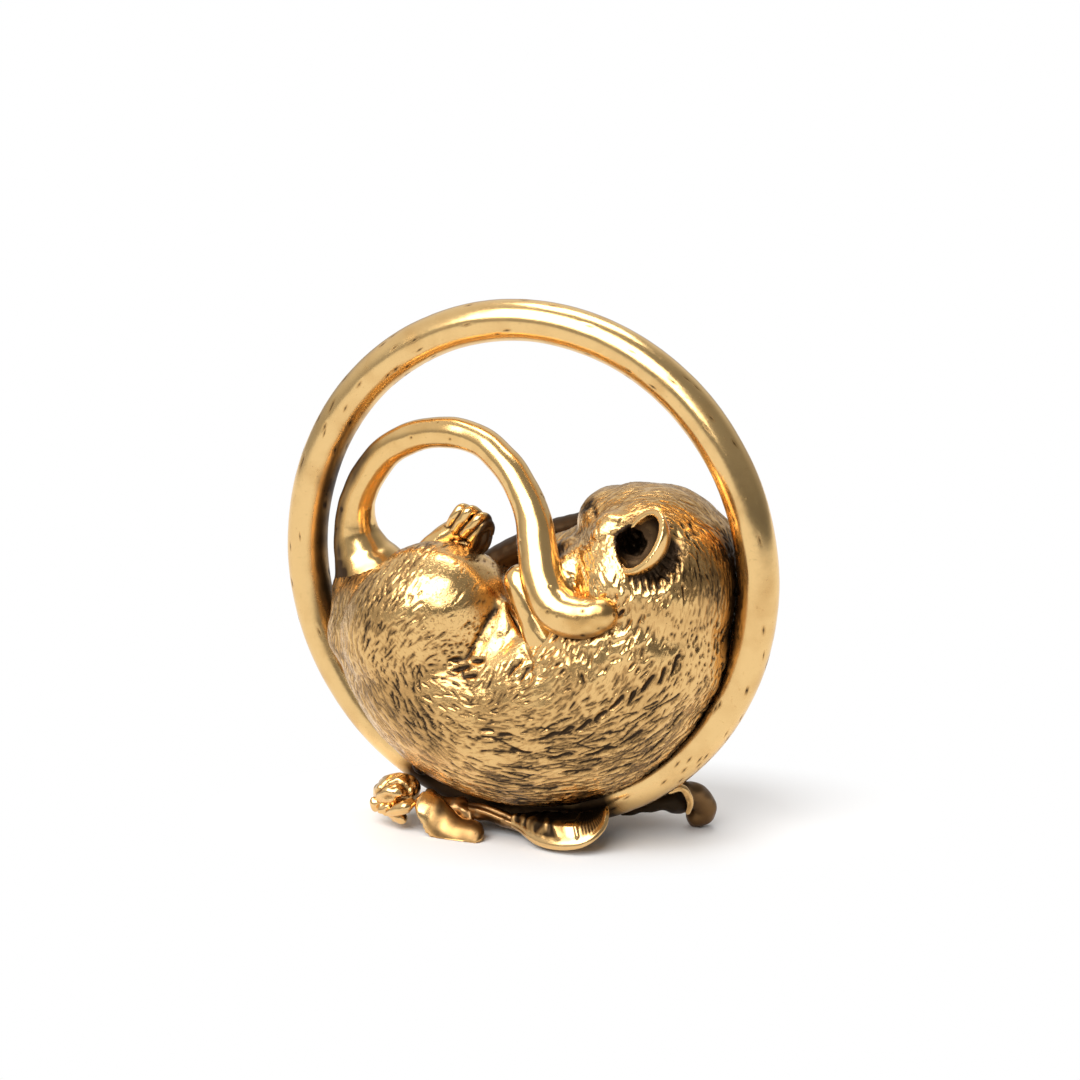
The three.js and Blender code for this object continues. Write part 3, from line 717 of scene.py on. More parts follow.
# Body: the curl of the back. Turn in degrees from the lowest point towards the neck, how far the back lies
# inside BACK_RADIUS, and how thick the body is there.
BACK_RADIUS = 22.8
BODY_WIDTH = 1.183                # width of the body as a share of its thickness
BODY = [
    (-74, 1.4, 12.8), (-61, 1.1, 16.8), (-43, 0.9, 19.4), (-20, 0.4, 20.4),
    (6, 0.0, 20.8), (30, 0.0, 20.8), (54, 0.4, 19.8), (72, 1.3, 18.2),
]
HAUNCH_RADII, HAUNCH_TURN = (9.0, 6.4, 6.7), (0, -35, 0)
RUMP = ((-14.2, 0, -4.1), (5.3, 7.4, 3.4), (0, -16, 0))
RUMP_SIDES = ((-13.6, 2.4, -6.9), (5.2, 6.4, 4.6))
TAIL_FLARE = ((-16.0, -0.6, -3.6), (3.7, 4.0, 2.8))
NEAR_HAUNCH = (-7.3, -6.4, -4.5)
FAR_HAUNCH = (-7.3, 6.4, -7.9)
ELBOW = [(1.5, -7.9, -1.8, 0.6), (1.5, -7.8, -4.2, 1.5), (1.6, -7.3, -7.2, 2.7), (2.2, -6.8, -10.2, 3.2)]
MUZZLE = [
    (11.0, 0, 0.0, 6.3), (8.2, 0, 0.9, 5.0), (6.3, 0, 1.35, 3.8), (5.0, 0, 1.65, 2.9), (4.0, 0, 1.8, 1.85),
]
MUZZLE_WIDTH = 1.17               # the same share for the muzzle
OVER_ROD = ((426, 764), -1.5, (1.7, 1.2, 1.3))   # a tuft that laps over the rod: pixel, depth and radii
COARSE_GRAIN, SKIN_GRAIN = 0.4, 0.135     # spacing of the rough clay's points and of the fine skin's


# The head's lumps, with their radii; those off the middle plane stand on both sides of it.
SKULL = [
    ((13.0, 0, -0.5), (7.7, 10.1, 9.2)), ((11.3, 0, 4.2), (4.3, 6.0, 4.6)),
    ((8.95, 0, 5.2), (3.1, 5.0, 3.1)), ((7.9, 4.0, 0.9), (3.4, 3.4, 3.6)),
    ((6.9, 4.6, 0.8), (2.9, 2.3, 3.5)), ((8.6, 5.9, 0.9), (2.3, 2.1, 3.3)),
    ((7.6, 5.6, 0.2), (2.4, 2.0, 3.6)), ((7.4, 7.2, -0.2), (1.9, 1.8, 3.3)),
    ((13.0, 0, -5.6), (8.0, 10.9, 9.0)), ((15.4, 0, -0.8), (6.0, 9.7, 8.0)),
]
NEAR_EAR_SEAT, FAR_EAR_SEAT = (11.4, -5.7, 5.0), (11.4, 5.7, 5.0 - FAR_EAR_DROP)
NEAR_ARMPIT, FAR_ARMPIT = (-0.8, -5.2, -7.2), (-0.8, 5.2, -8.6)
EAR_SEAT_RADII, ARMPIT_RADII = (2.2, 2.0, 2.2), (3.4, 3.5, 5.2)
ROD_GAP, EAR_LINING = 0.12, 0.35  # room left round the rod, and the ear's wall left behind its hollow


def both_sides(at, radii):
    """An egg of clay on each side of the middle plane, or one alone if it lies on the plane."""
    x, y, z = at
    return [lump((x, -y, z), radii), lump(at, radii)] if y else [lump(at, radii)]


def mirrored(stations):
    """The same stations on the far side of the middle plane."""
    return [(x, -y, *rest) for x, y, *rest in stations]


def body_clay():
    """The whole animal without ears, tail and feet, with a channel for the hoop's rod along its back."""
    stations = []
    for turn, inset, thick in BODY:
        reach = BACK_RADIUS - inset - thick / 2
        angle = math.radians(turn)
        stations.append((math.sin(angle) * reach, 0, -math.cos(angle) * reach, thick / 2))
    lumps = [
        roll(stations, widen=BODY_WIDTH, ends=False, round_steps=12),
        lump(NEAR_HAUNCH, HAUNCH_RADII, HAUNCH_TURN),
        lump(FAR_HAUNCH, HAUNCH_RADII, HAUNCH_TURN),
    ]
    for at, radii in SKULL:
        lumps += both_sides(at, radii)
    lumps += [
        lump(NEAR_EAR_SEAT, EAR_SEAT_RADII),
        lump(FAR_EAR_SEAT, EAR_SEAT_RADII),
        lump(*RUMP),
        *both_sides(*RUMP_SIDES),
        lump(*TAIL_FLARE),
        lump(at_pixel(*OVER_ROD[0], OVER_ROD[1]), OVER_ROD[2]),
        lump(NEAR_ARMPIT, ARMPIT_RADII),
        lump(FAR_ARMPIT, ARMPIT_RADII),
        roll(ELBOW),
        roll(mirrored(ELBOW)),
        roll(MUZZLE, widen=MUZZLE_WIDTH),
    ]
    clay = model(lumps, COARSE_GRAIN, 9, "body")
    bpy.ops.mesh.primitive_torus_add(
        major_radius=HOOP_LINE, minor_radius=ROD + ROD_GAP, major_segments=180, minor_segments=24,
        rotation=(math.radians(90), 0, 0))
    cut_away(clay, take("rod"))
    for way in (-1, 1):
        hole = lump((0.2, 0.2, 0), [half - EAR_LINING for half in EAR_SIZE])
        settle(hole).data.transform(ear_frame(way))
        cut_away(clay, face_outwards(hole))
        cut_away(clay, canal_drill(way))
    return model([clay], SKIN_GRAIN, 3, "body")


# What brings a place to the other side of the middle plane.
MIRROR = np.array((1, -1, 1))
# Lines of the modelling, as the photograph shows them on the near side; the far side mirrors them.
# Each has its pixels, and its width, depth and patina.
CREASES = [
    ([(503, 596), (490, 617), (479, 636), (469, 655), (452, 678)], 0.30, 0.22, 0.35),
    ([(508, 604), (516, 620), (523, 637)], 0.28, 0.35, 0.75),
    ([(523, 645), (531, 662), (530, 680), (521, 692)], 0.32, 0.25, 0.5),
    ([(593, 501), (594, 512), (596, 522)], 0.26, 0.25, 0.6),
    ([(583, 509), (586, 505), (590, 502)], 0.60, 0.40, 0.9),
    ([(589, 531), (595, 527), (603, 524)], 0.26, 0.14, 0.35),
    ([(592, 541), (600, 541), (607, 537)], 0.13, 0.14, 0.55),
    ([(671, 530), (676, 546), (670, 562), (657, 573), (641, 579)], 0.85, 0.50, 1.0),
]
# Rounded places: pixel, radius and height.
SWELLINGS = [
    (598, 533, 0.9, 0.12), (606, 522, 2.0, 0.15), (578, 560, 2.3, 0.30), (590, 585, 2.6, 0.25),
    (615, 600, 2.6, 0.20), (500, 660, 2.0, 0.30), (438, 600, 3.5, 0.20), (570, 660, 3.0, 0.20),
    (482, 556, 2.2, -0.45), (408, 551, 2.2, 0.25), (488, 640, 1.2, 0.25), (478, 655, 1.2, 0.20),
]
# Patina and painted shade by place: pixel, radius in millimetres and amount; below 0 a highlight is painted,
# the brass made bright.
SHADES = [
    (559, 549, 0.9, 0.8), (652, 573, 1.2, 0.5), (640, 579, 1.0, 0.3), (672, 562, 1.8, 0.35),
    (716, 590, 2.6, 0.35), (720, 550, 2.2, 0.30), (725, 640, 2.2, 0.25), (475, 600, 1.6, 0.40),
    (500, 602, 1.5, 0.35), (395, 700, 3.2, 0.28), (372, 620, 2.8, 0.18), (425, 735, 3.2, 0.25),
    (640, 705, 3.2, 0.12), (560, 740, 3.5, 0.10), (520, 800, 3.0, 0.40), (585, 812, 3.0, 0.45),
    (560, 690, 3.5, 0.05), (500, 715, 4.0, 0.10), (440, 600, 2.6, -0.5),
    (583, 570, 2.6, -0.45), (605, 588, 2.6, -0.5), (632, 598, 2.2, -0.45), (604, 562, 2.2, -0.5),
    (350, 584, 1.5, 0.45), (366, 584, 1.3, 0.40), (380, 568, 1.8, -0.45), (586, 505, 1.0, 0.8),
    (570, 582, 1.8, -0.35), (505, 660, 2.0, -0.45), (540, 665, 2.4, -0.4), (350, 610, 3.0, -0.25),
    (600, 645, 2.6, -0.3), (660, 620, 3.0, -0.2), (450, 545, 2.0, 0.15), (348, 690, 2.2, 0.15),
]
# How the hair is tooled: pixel, the way that it lies there in degrees, and its kind.
COMBED = [
    (352, 575, 75, "fine"), (345, 620, 85, "fine"), (352, 670, 100, "fine"), (368, 600, 66, "short"),
    (385, 572, 60, "short"), (395, 600, 58, "short"), (415, 560, 62, "short"), (440, 565, 62, "bare"),
    (410, 630, 45, "short"), (435, 640, 30, "short"), (455, 650, 18, "pits"), (440, 600, 40, "bare"),
    (470, 635, 20, "pits"), (385, 650, 60, "short"), (375, 700, 118, "fine"), (400, 690, 115, "short"),
    (395, 730, 128, "fine"), (420, 720, 130, "short"), (430, 755, 140, "fine"), (455, 775, 152, "short"),
    (485, 790, 165, "long"), (482, 650, 58, "bare"), (495, 690, 62, "short"), (520, 670, 50, "pits"),
    (450, 700, 150, "short"), (480, 725, 165, "short"), (505, 740, 172, "long"), (520, 715, 10, "short"),
    (540, 700, 20, "short"), (530, 775, 0, "long"), (560, 745, 6, "long"), (600, 740, 12, "long"),
    (590, 780, 8, "long"), (635, 760, 25, "long"), (650, 720, 38, "long"), (672, 740, 42, "long"),
    (690, 700, 52, "short"), (700, 670, 60, "pits"), (715, 640, 72, "pits"), (655, 685, 55, "short"),
    (670, 640, 62, "pits"), (600, 700, 30, "short"), (620, 670, 60, "curl"), (580, 665, 75, "curl"),
    (560, 690, 45, "short"), (640, 640, 66, "curl"), (700, 600, 84, "fine"), (725, 600, 88, "fine"),
    (715, 560, 105, "fine"), (690, 565, 100, "short"), (672, 590, 75, "curl"), (650, 600, 70, "curl"),
    (620, 590, 100, "curl"), (600, 575, 110, "short"), (605, 600, 60, "curl"), (590, 560, 120, "short"),
    (578, 565, 125, "fine"), (620, 515, 40, "bare"), (640, 497, 10, "fine"), (610, 500, 35, "fine"),
    (670, 498, 165, "fine"), (700, 515, 145, "fine"), (722, 540, 122, "short"), (685, 530, 130, "short"),
    (675, 510, 150, "fine"), (478, 597, 40, "bare"), (512, 650, 60, "bare"), (450, 620, 35, "bare"),
]
# The deepest single cuts: pixel, turn and length.
GOUGES = [
    (548, 737, 18, 2.2), (566, 731, 22, 1.8), (584, 726, 28, 2.0), (600, 716, 40, 1.8), (617, 704, 46, 2.2),
    (632, 698, 50, 1.5), (648, 684, 52, 2.2), (663, 676, 58, 1.8), (676, 664, 60, 2.0), (505, 735, 172, 1.6),
    (487, 730, 160, 1.4), (560, 757, 8, 2.6), (600, 752, 16, 2.8), (632, 738, 34, 2.6), (578, 772, 6, 2.8),
    (620, 768, 20, 2.6), (655, 748, 40, 2.6), (676, 722, 48, 2.4), (630, 578, -80, 1.3), (636, 582, -78, 1.6),
    (643, 584, -75, 1.8), (650, 583, -70, 1.8), (657, 580, -62, 2.0), (663, 574, -52, 2.0),
    (669, 565, -40, 1.8), (672, 555, -25, 1.6), (614.5, 534.5, 5, 0.7), (616, 597, 80, 1.0),
    (626, 600, 75, 1.4), (613, 610, 60, 1.0), (622, 612, 65, 1.0),
    (478, 662, 12, 1.2), (462, 668, 14, 1.4), (455, 660, 20, 1.2), (470, 676, 12, 1.4), (512, 670, 55, 1.5),
    (518, 664, 65, 1.2), (524, 674, 60, 1.8), (590, 762, 10, 2.4), (520, 752, 178, 2.2), (545, 790, 2, 2.6),
]
GOUGE_SIZE = 0.26                 # their half width and their depth
# What each kind of stroke is like: length, half width and depth in millimetres, patina, and strokes to a
# square millimetre.
STROKES = {
    "fine": (1.2, 0.10, 0.045, 0.55, 4.2),
    "short": (0.9, 0.11, 0.08, 0.85, 3.4),
    "long": (2.2, 0.12, 0.10, 0.90, 2.3),
    "pits": (0.40, 0.12, 0.10, 1.0, 3.4),
    "curl": (1.0, 0.16, 0.15, 0.70, 2.0),
    "bare": (0.6, 0.11, 0.05, 0.5, 0.8),
}


def lying(turn, way):
    """The direction on a surface facing a way that shows at a turn in degrees in the photograph."""
    angle = math.radians(turn)
    lie = CAMERA_RIGHTWARD * math.cos(angle) + CAMERA_UPWARD * math.sin(angle)
    return (lie - CAMERA_BACK * (lie.dot(way) / CAMERA_BACK.dot(way))).normalized()


def comb(fur, rng):
    """Tools the hair into the clay, stroke by stroke, along the way that it lies."""
    rows = []
    for px, py, turn, kind in COMBED:
        point, way = fur.seen(px, py)
        if point is not None:
            rows.append((point, lying(turn, way), kind))
    spots = np.array([row[0] for row in rows])
    lies = np.array([row[1] for row in rows])
    kinds = [row[2] for row in rows]

    def lie_at(point, normal):
        """The way that the hair lies at a point, and its kind; the far side mirrors the near one."""
        far = point[1] > 0
        gap = ((spots - (point * MIRROR if far else point)) ** 2).sum(1)
        nearest = int(np.argmin(gap * rng.uniform(0.6, 1.4, len(gap))))
        signs = np.sign(lies @ lies[nearest])
        way = ((lies * signs[:, None]) / (gap[:, None] + 0.3) ** 1.5).sum(0)
        if far:
            way = way * MIRROR
        way = way - normal * (way @ normal)
        return way / max(np.linalg.norm(way), 1e-6), kinds[nearest]

    tree = KDTree(len(fur.places))
    for index, place in enumerate(fur.places):
        tree.insert(place, index)
    tree.balance()
    cut = np.zeros(len(fur.places))
    raised = np.zeros(len(fur.places))

    def stroke(point, normal, way, length, width, depth, ink):
        """One cut with its raised lips."""
        side = np.cross(normal, way)
        bend, sway = rng.normal(0, 0.10), rng.uniform(-0.6, 0.6) * width
        near = np.array([i for _, i, _ in tree.find_range(point, length / 2 + 3 * width)])
        if not len(near):
            return
        offset = fur.places[near] - point
        along = offset @ way
        across = offset @ side - bend * along ** 2 - sway * np.sin(along * 2.5)
        end = falling(np.abs(along), length / 2 + width, 2.5 * width)
        thin = width * (0.55 + 0.45 * np.clip(0.5 + along / length, 0, 1))
        groove = bell(across, thin) * end
        lip = bell(np.abs(across) - 2.0 * width, 0.8 * width) * end
        cut[near] = np.maximum(cut[near], depth * groove)
        raised[near] = np.maximum(raised[near], 0.28 * depth * lip)
        fur.ink[near] = np.maximum(fur.ink[near], ink * np.minimum(1, 1.3 * groove))

    area = sum(polygon.area for polygon in fur.thing.data.polygons)
    densest = max(kind[4] for kind in STROKES.values())
    for index in rng.integers(0, len(fur.places), int(area * densest)):
        point, normal = fur.places[index], fur.ways[index]
        way, kind = lie_at(point, normal)
        length, width, depth, ink, crowd = STROKES[kind]
        if rng.random() > crowd / densest:
            continue
        turn = rng.normal(0, 0.18)
        way = way * math.cos(turn) + np.cross(normal, way) * math.sin(turn)
        size = rng.uniform(0.6, 1.3)
        stroke(point, normal, way, length * size * rng.uniform(0.6, 1.3), width * size,
               depth * size * rng.uniform(0.6, 1.2), ink * rng.uniform(0.5, 1.0))
    for px, py, turn, length in GOUGES:
        point, way = fur.seen(px, py)
        if point is None:
            continue
        lie = np.array(lying(turn, way))
        for mirror in (np.ones(3), MIRROR):
            stroke(np.array(point) * mirror, np.array(way) * mirror, lie * mirror, length, GOUGE_SIZE,
                   GOUGE_SIZE, 1.0)
    fur.push(raised * (cut < 0.02) - cut)


# The line in the side view under which the neck ends and the head begins: x and z.
NECK_X, NECK_Z = (2.0, 5.0, 9.0, 14.0, 22.0), (-0.4, -2.6, -5.2, -5.4, -3.6)
# What is parted from the torso, by number: its name, and the socket inside that closes the cut.
PARTED = {1: ("head", (13, 0, -5)), 2: ("haunch_left", (-7, -2, -6)), 3: ("haunch_right", (-7, 2, -8))}


def in_haunch(places, at):
    """Which places lie on a haunch, round its own egg."""
    angle = math.radians(HAUNCH_TURN[1])
    x, y, z = (places - np.array(at)).T
    along = x * math.cos(angle) - z * math.sin(angle)
    up = x * math.sin(angle) + z * math.cos(angle)
    a, b, c = HAUNCH_RADII
    beside = np.abs(places[:, 1]) > 4.5
    return ((along / a) ** 2 + (y / b) ** 2 + (up / c) ** 2 < 1.10) & beside


def part_off(clay, chosen, socket, name):
    """Takes the chosen faces off as a thing of their own; a cone to a socket inside closes both."""
    only(clay)
    for polygon, pick in zip(clay.data.polygons, chosen):
        polygon.select = bool(pick)
    clay.data.vertices.foreach_set("select", np.zeros(len(clay.data.vertices), dtype=bool))
    clay.data.edges.foreach_set("select", np.zeros(len(clay.data.edges), dtype=bool))
    bpy.ops.object.mode_set(mode="EDIT")
    bpy.ops.mesh.select_mode(type="FACE")
    bpy.ops.mesh.separate(type="SELECTED")
    bpy.ops.object.mode_set(mode="OBJECT")
    taken = next(thing for thing in bpy.context.selected_objects if thing is not clay)
    taken.name = name
    for thing in (clay, taken):
        only(thing)
        bpy.ops.object.mode_set(mode="EDIT")
        bpy.ops.mesh.select_mode(type="EDGE")
        bpy.ops.mesh.select_all(action="DESELECT")
        bpy.ops.mesh.select_non_manifold(extend=False, use_wire=False, use_multi_face=False,
                                         use_non_contiguous=False, use_verts=False)
        bpy.ops.mesh.mark_sharp()
        bpy.ops.mesh.extrude_edges_move()
        bpy.ops.transform.resize(value=(0, 0, 0), center_override=socket)
        bpy.ops.mesh.merge(type="COLLAPSE")
        bpy.ops.object.mode_set(mode="OBJECT")
    return taken


def above_rod(places):
    """How far each place lies above the hoop's rod, or 0 inside it."""
    to_line = np.linalg.norm(places[:, [0, 2]], axis=1) - HOOP_LINE
    return np.maximum(np.hypot(to_line, places[:, 1]) - ROD, 0)


def body(tail_piece, ears):
    """The furred body, tooled as one and then parted into torso, head and haunches."""
    clay = body_clay()
    centres = np.empty(len(clay.data.polygons) * 3)
    clay.data.polygons.foreach_get("center", centres)
    centres = centres.reshape(-1, 3)
    rng = np.random.default_rng(7)
    fur = Sculpture(clay)
    for pixels, width, depth, ink in CREASES:
        path = fur.trace(pixels)
        for line in (path, [point * MIRROR for point in path]):
            if len(line) > 1:
                fur.carve(line, width, depth, ink)
    for px, py, radius, height in SWELLINGS:
        point, _ = fur.seen(px, py)
        if point is not None:
            fur.swell(point, radius, height)
            fur.swell(np.array(point) * MIRROR, radius, height)
    fur.update()
    fur.roughen(0.03, 2.6, rng)
    jagged = np.clip(unevenness(fur.places, 0.9, rng), 0, 1)
    fur.push(-0.28 * bell(above_rod(fur.places), 0.35) * jagged)
    fur.update()
    comb(fur, rng)
    fur.update()
    fur.ink *= 0.85
    fur.darken_hollows(40, 0.26)
    for px, py, radius, amount in SHADES:
        point, _ = fur.seen(px, py)
        if point is not None:
            fur.shade(point, radius, amount)
            fur.shade(np.array(point) * MIRROR, radius, amount)
    # Painted shade where the tail and the ears stand close to the fur.
    for thing, reach, amount in ((tail_piece, 0.7, 0.45), (ears[0], 0.5, 0.6), (ears[1], 0.5, 0.6)):
        fur.paint_contact_shade(thing, reach, amount)
    # Painted shade along the hoop's rod, where the fur meets it.
    fur.ink += 0.9 * bell(above_rod(fur.places), 0.8)
    # Painted shade: the ears' canals are black inside.
    for way in (-1, 1):
        in_canal = gap_to(fur.places, middle_line(canal_path(way)))[0] < 1.6
        fur.ink += 1.2 * in_canal * (np.abs(fur.places[:, 1]) < 9.0)
    store_patina_and_shade(clay, fur.ink)

    neck = np.interp(centres[:, 0], NECK_X, NECK_Z)
    owner = np.zeros(len(centres), dtype=int)
    owner[in_haunch(centres, NEAR_HAUNCH) & (centres[:, 1] < 0)] = 2
    owner[in_haunch(centres, FAR_HAUNCH) & (centres[:, 1] > 0)] = 3
    owner[(centres[:, 2] > neck) & (centres[:, 0] > NECK_X[0])] = 1
    pieces = []
    for number, (name, socket) in PARTED.items():
        chosen = np.zeros(len(clay.data.polygons), dtype=bool)
        chosen[:len(owner)] = owner == number
        pieces.append(part_off(clay, chosen, socket, name))
        owner = owner[owner != number]      # the faces that stay keep their order
    return clay, pieces


# Limbs: x, y, z and radius
NEAR_ARM = [(7.4, -7.6, -7.4, 2.6), (5.9, -8.2, -5.0, 2.1), (4.5, -8.4, -2.4, 1.55), (3.4, -8.2, -0.3, 1.45),
            (3.0, -7.9, 0.45, 1.5)]
FAR_ARM = [(5.6, 4.6, 4.0, 1.15), (3.0, 4.8, 3.1, 1.2), (0.2, 5.0, 1.9, 1.45), (-3.3, 5.0, -0.1, 1.6),
           (-6.2, 5.0, -1.9, 1.7)]
# The near leg and fist: pixel, depth and radius
NEAR_LEG = [
    ((403, 582), -4.0, 1.9), ((420, 566), -3.9, 1.6), ((436, 547), -3.9, 1.38), ((447, 537), -3.8, 1.28),
    ((456, 530), -3.7, 1.15),
]
FIST = [
    ((460, 533), -3.7, 1.05), ((468, 524), -3.7, 1.10), ((478, 527), -3.2, 1.20), ((481, 537), -3.0, 1.10),
    ((475, 547), -3.1, 0.90), ((467, 546), -3.5, 0.95), ((458, 541), -3.7, 1.0),
]
# The near toes, each from its root over the knuckle to the tip, and two tips folded under: pixel and depth
NEAR_TOES = [
    [((450, 525), -4.3), ((455, 516), -4.5), ((460.5, 509.5), -4.3), ((466, 508.5), -3.7),
     ((470, 512), -3.1)],
    [((456, 529), -4.6), ((463, 519), -4.8), ((470.5, 510.5), -4.5), ((477, 512), -3.8),
     ((481, 517), -3.2)],
    [((464, 534), -4.7), ((472, 526), -4.8), ((480, 518), -4.5), ((486, 518), -3.8), ((489, 524), -3.3)],
    [((472, 539), -4.5), ((479, 531), -4.5), ((486, 524.5), -4.2), ((490, 526), -3.6), ((490, 533), -3.3)],
    [((486, 527), -3.9), ((485, 538), -4.0), ((479, 549), -3.9)],
    [((479, 527), -4.4), ((477, 538), -4.4), ((472, 549), -4.1)],
]
TOE_TAPER = (0.95, 1.0, 1.05, 0.95, 0.8)
FAR_LEG = [(-11.5, 5.6, -6.0, 1.9), (-10.2, 4.9, -3.6, 1.5), (-8.8, 3.4, -2.3, 1.2), (-7.4, 2.0, -1.7, 1.2)]
# The far toes' knuckles: x, y and z
FAR_TOES = [(-6.9, 0.9, -0.3), (-6.0, 1.5, -0.3), (-5.3, 2.4, -0.6), (-5.1, 3.3, -1.1)]
NEAR_TOE, TOE, FINGER = 0.47, 0.64, 0.45          # radii
FIST_SHADE = (480, 524)                           # the fist is dark from this pixel to the right


def dress_limb(clay, seed, full=0.10):
    """Patina in the hollows of a limb or a stalk, and faint unevenness on its skin."""
    rng = np.random.default_rng(seed)
    skin = Sculpture(clay)
    skin.roughen(0.02, 1.5, rng)
    skin.darken_hollows(25, full)
    skin.ink += 0.06 * unevenness(skin.places, 2.0, rng)
    return skin


def near_foot():
    """The near hind foot: a smooth shin and a fist of four toes that curl over to the right."""
    lumps = [roll(by_eye(NEAR_LEG)), roll(by_eye(FIST))]
    for toe in NEAR_TOES:
        stations = [(pixel, y, NEAR_TOE * size) for (pixel, y), size in zip(toe, TOE_TAPER)]
        lumps.append(roll(by_eye(stations)))
    clay = model(lumps, 0.08, 6, "foot")
    skin = dress_limb(clay, 11, 0.02)
    px, py = pixels_of(skin.places)
    # Painted shade on the fist's right side, which faces away from the light.
    skin.ink += rising(px + 0.5 * (py - FIST_SHADE[1]), FIST_SHADE[0], 4)
    store_patina_and_shade(clay, skin.ink)
    return clay


def far_foot():
    """The far hind foot, tucked in over the belly."""
    lumps = [roll(FAR_LEG)]
    for x, y, z in FAR_TOES:
        lumps.append(roll([
            (x - 1.3, y + 0.2, z - 1.0, TOE), (x - 0.3, y, z, TOE), (x + 0.7, y - 0.1, z - 0.4, TOE * 0.9),
            (x + 0.9, y - 0.1, z - 1.2, TOE * 0.8)]))
    clay = model(lumps, 0.14, 3, "foot")
    # Painted shade: the far foot is darkened all over.
    store_patina_and_shade(clay, dress_limb(clay, 12).ink + 0.25)
    return clay


def near_arm():
    """The near foreleg: a smooth forearm and a rounded paw with fingers on its inner side."""
    lumps = [roll(NEAR_ARM)]
    for step in range(4):
        x, z = 3.3 + 0.45 * step, 1.55 - 0.25 * step
        lumps.append(roll([
            (x, -8.3, z - 0.6, 0.5), (x + 0.5, -7.7, z - 0.1, 0.5), (x + 0.9, -6.9, z - 0.5, FINGER)]))
    clay = model(lumps, 0.13, 5, "arm")
    store_patina_and_shade(clay, dress_limb(clay, 13).ink)
    return clay


def far_arm():
    """The far foreleg, with its fingers at the brow."""
    lumps = [roll(FAR_ARM)]
    for step in range(4):
        y = 3.7 + 0.75 * step
        lumps.append(roll([(4.4, y, 3.8, FINGER), (5.2, y, 4.3, FINGER), (6.3, y + 0.1, 4.9, FINGER)]))
    clay = model(lumps, 0.14, 4, "arm")
    # Painted shade: the forearm is black up to the fingers.
    store_patina_and_shade(clay, dress_limb(clay, 14).ink + 1.1 * (points_of(clay)[:, 0] < 4.6))
    return clay


# Leaves and blossom. What is given by x, y and z is in the floor's frame.
# The upper and lower edges of the tongue leaf and of the folded leaf, from the stalk on: pixels
TONGUE = [
    ((415, 795), (415, 815)), ((428, 790), (421, 823)), ((441, 796), (426, 833)), ((451, 806), (437, 840)),
    ((463, 816), (452, 843)), ((477, 820), (468, 844)), ((487, 828), (481, 844)),
]
TONGUE_BACK, TONGUE_FRONT = -5.2, -7.3            # depths of the two edges
FOLDED = [
    ((424, 788), (424, 797)), ((434, 791), (436, 803)), ((446, 796), (447, 813)), ((457, 796), (456, 822)),
    ((467, 799), (466, 826)), ((476, 806), (474, 830)),
]
FOLDED_BACK, FOLDED_FRONT = -3.8, -5.2
# Rolls: pixel, depth and radius
HOOD = [
    ((683, 789), 3.6, 0.85), ((693, 793), 4.8, 1.10), ((702, 801), 5.9, 1.15), ((704, 811), 6.4, 1.20),
    ((698, 815), 6.2, 1.20),
]
HOOD_STEM = [
    ((622, 813), 1.2, 0.34), ((648, 807), 1.6, 0.5), ((661, 802), 2.0, 0.85), ((671, 801), 2.7, 1.15),
    ((680, 801), 3.6, 1.15),
]
HOOD_HOLLOW = [((664, 805), 1.3, 0.6), ((671, 803), 1.9, 0.95), ((679, 803), 2.4, 0.8)]
STEM_SHADE_END = 664                    # the stem is dark to the left of this pixel
TENDRIL = [
    ((670, 791), 1.3, 0.32), ((681, 788), 1.9, 0.38), ((687, 794), 2.4, 0.40), ((690, 803), 2.7, 0.36),
    ((688, 812), 2.9, 0.26),
]
TWIG = [
    ((462, 809), -3.7, 0.7), ((481, 812), -4.1, 0.85), ((492, 814), -4.2, 0.8), ((504, 819), -4.2, 0.75),
    ((517, 824), -4.3, 0.6), ((526, 829), -4.4, 0.45),
]
LIP = [((389, 813), -6.6, 0.38), ((397, 810), -6.9, 0.58), ((405, 807), -6.9, 0.66), ((411, 803), -6.4, 0.5)]
# The rear leaf: x, y, z, half width and share of the thickness
REAR = [
    (-0.6, 1.55, 1.6, 1.3, 1.0), (-1.8, 3.6, 2.0, 2.2, 1.0), (-3.0, 5.8, 1.5, 2.4, 1.0),
    (-3.9, 7.4, 0.7, 1.8, 1.0),
]
REAR_SIDE, REAR_HALF = (0.9, 0.4, 0), 0.42        # the way that it is wide, and half its thickness
# The front leaf's root line: x, y and z; and its rim: pixel and depth
FRONT_ROOT = [(0.9, -2.9, 2.0), (3.4, -2.3, 2.3), (6.0, -2.1, 2.5), (7.8, -2.0, 2.8), (9.4, -2.1, 3.7)]
FRONT_RIM = [
    ((506, 823), -4.6), ((515, 828), -5.0), ((522, 833), -5.6), ((530, 840), -6.4), ((541, 846), -7.0),
    ((556, 849), -7.3), ((573, 849), -7.3), ((588, 844), -6.9), ((599, 835), -6.1), ((605, 826), -5.3),
    ((607, 815), -4.6), ((606, 808), -4.0),
]
HUSK_AT, HUSK_RADII = ((397, 791), -4.3), (2.3, 2.3, 1.7)
# The buds: pixel and depth, and radii
BUDS = [
    (((377, 804), -5.6), (0.6, 0.55, 0.75)), (((385, 809), -6.1), (0.75, 0.6, 0.6)),
    (((397, 815), -6.2), (1.15, 0.8, 0.62)),
]
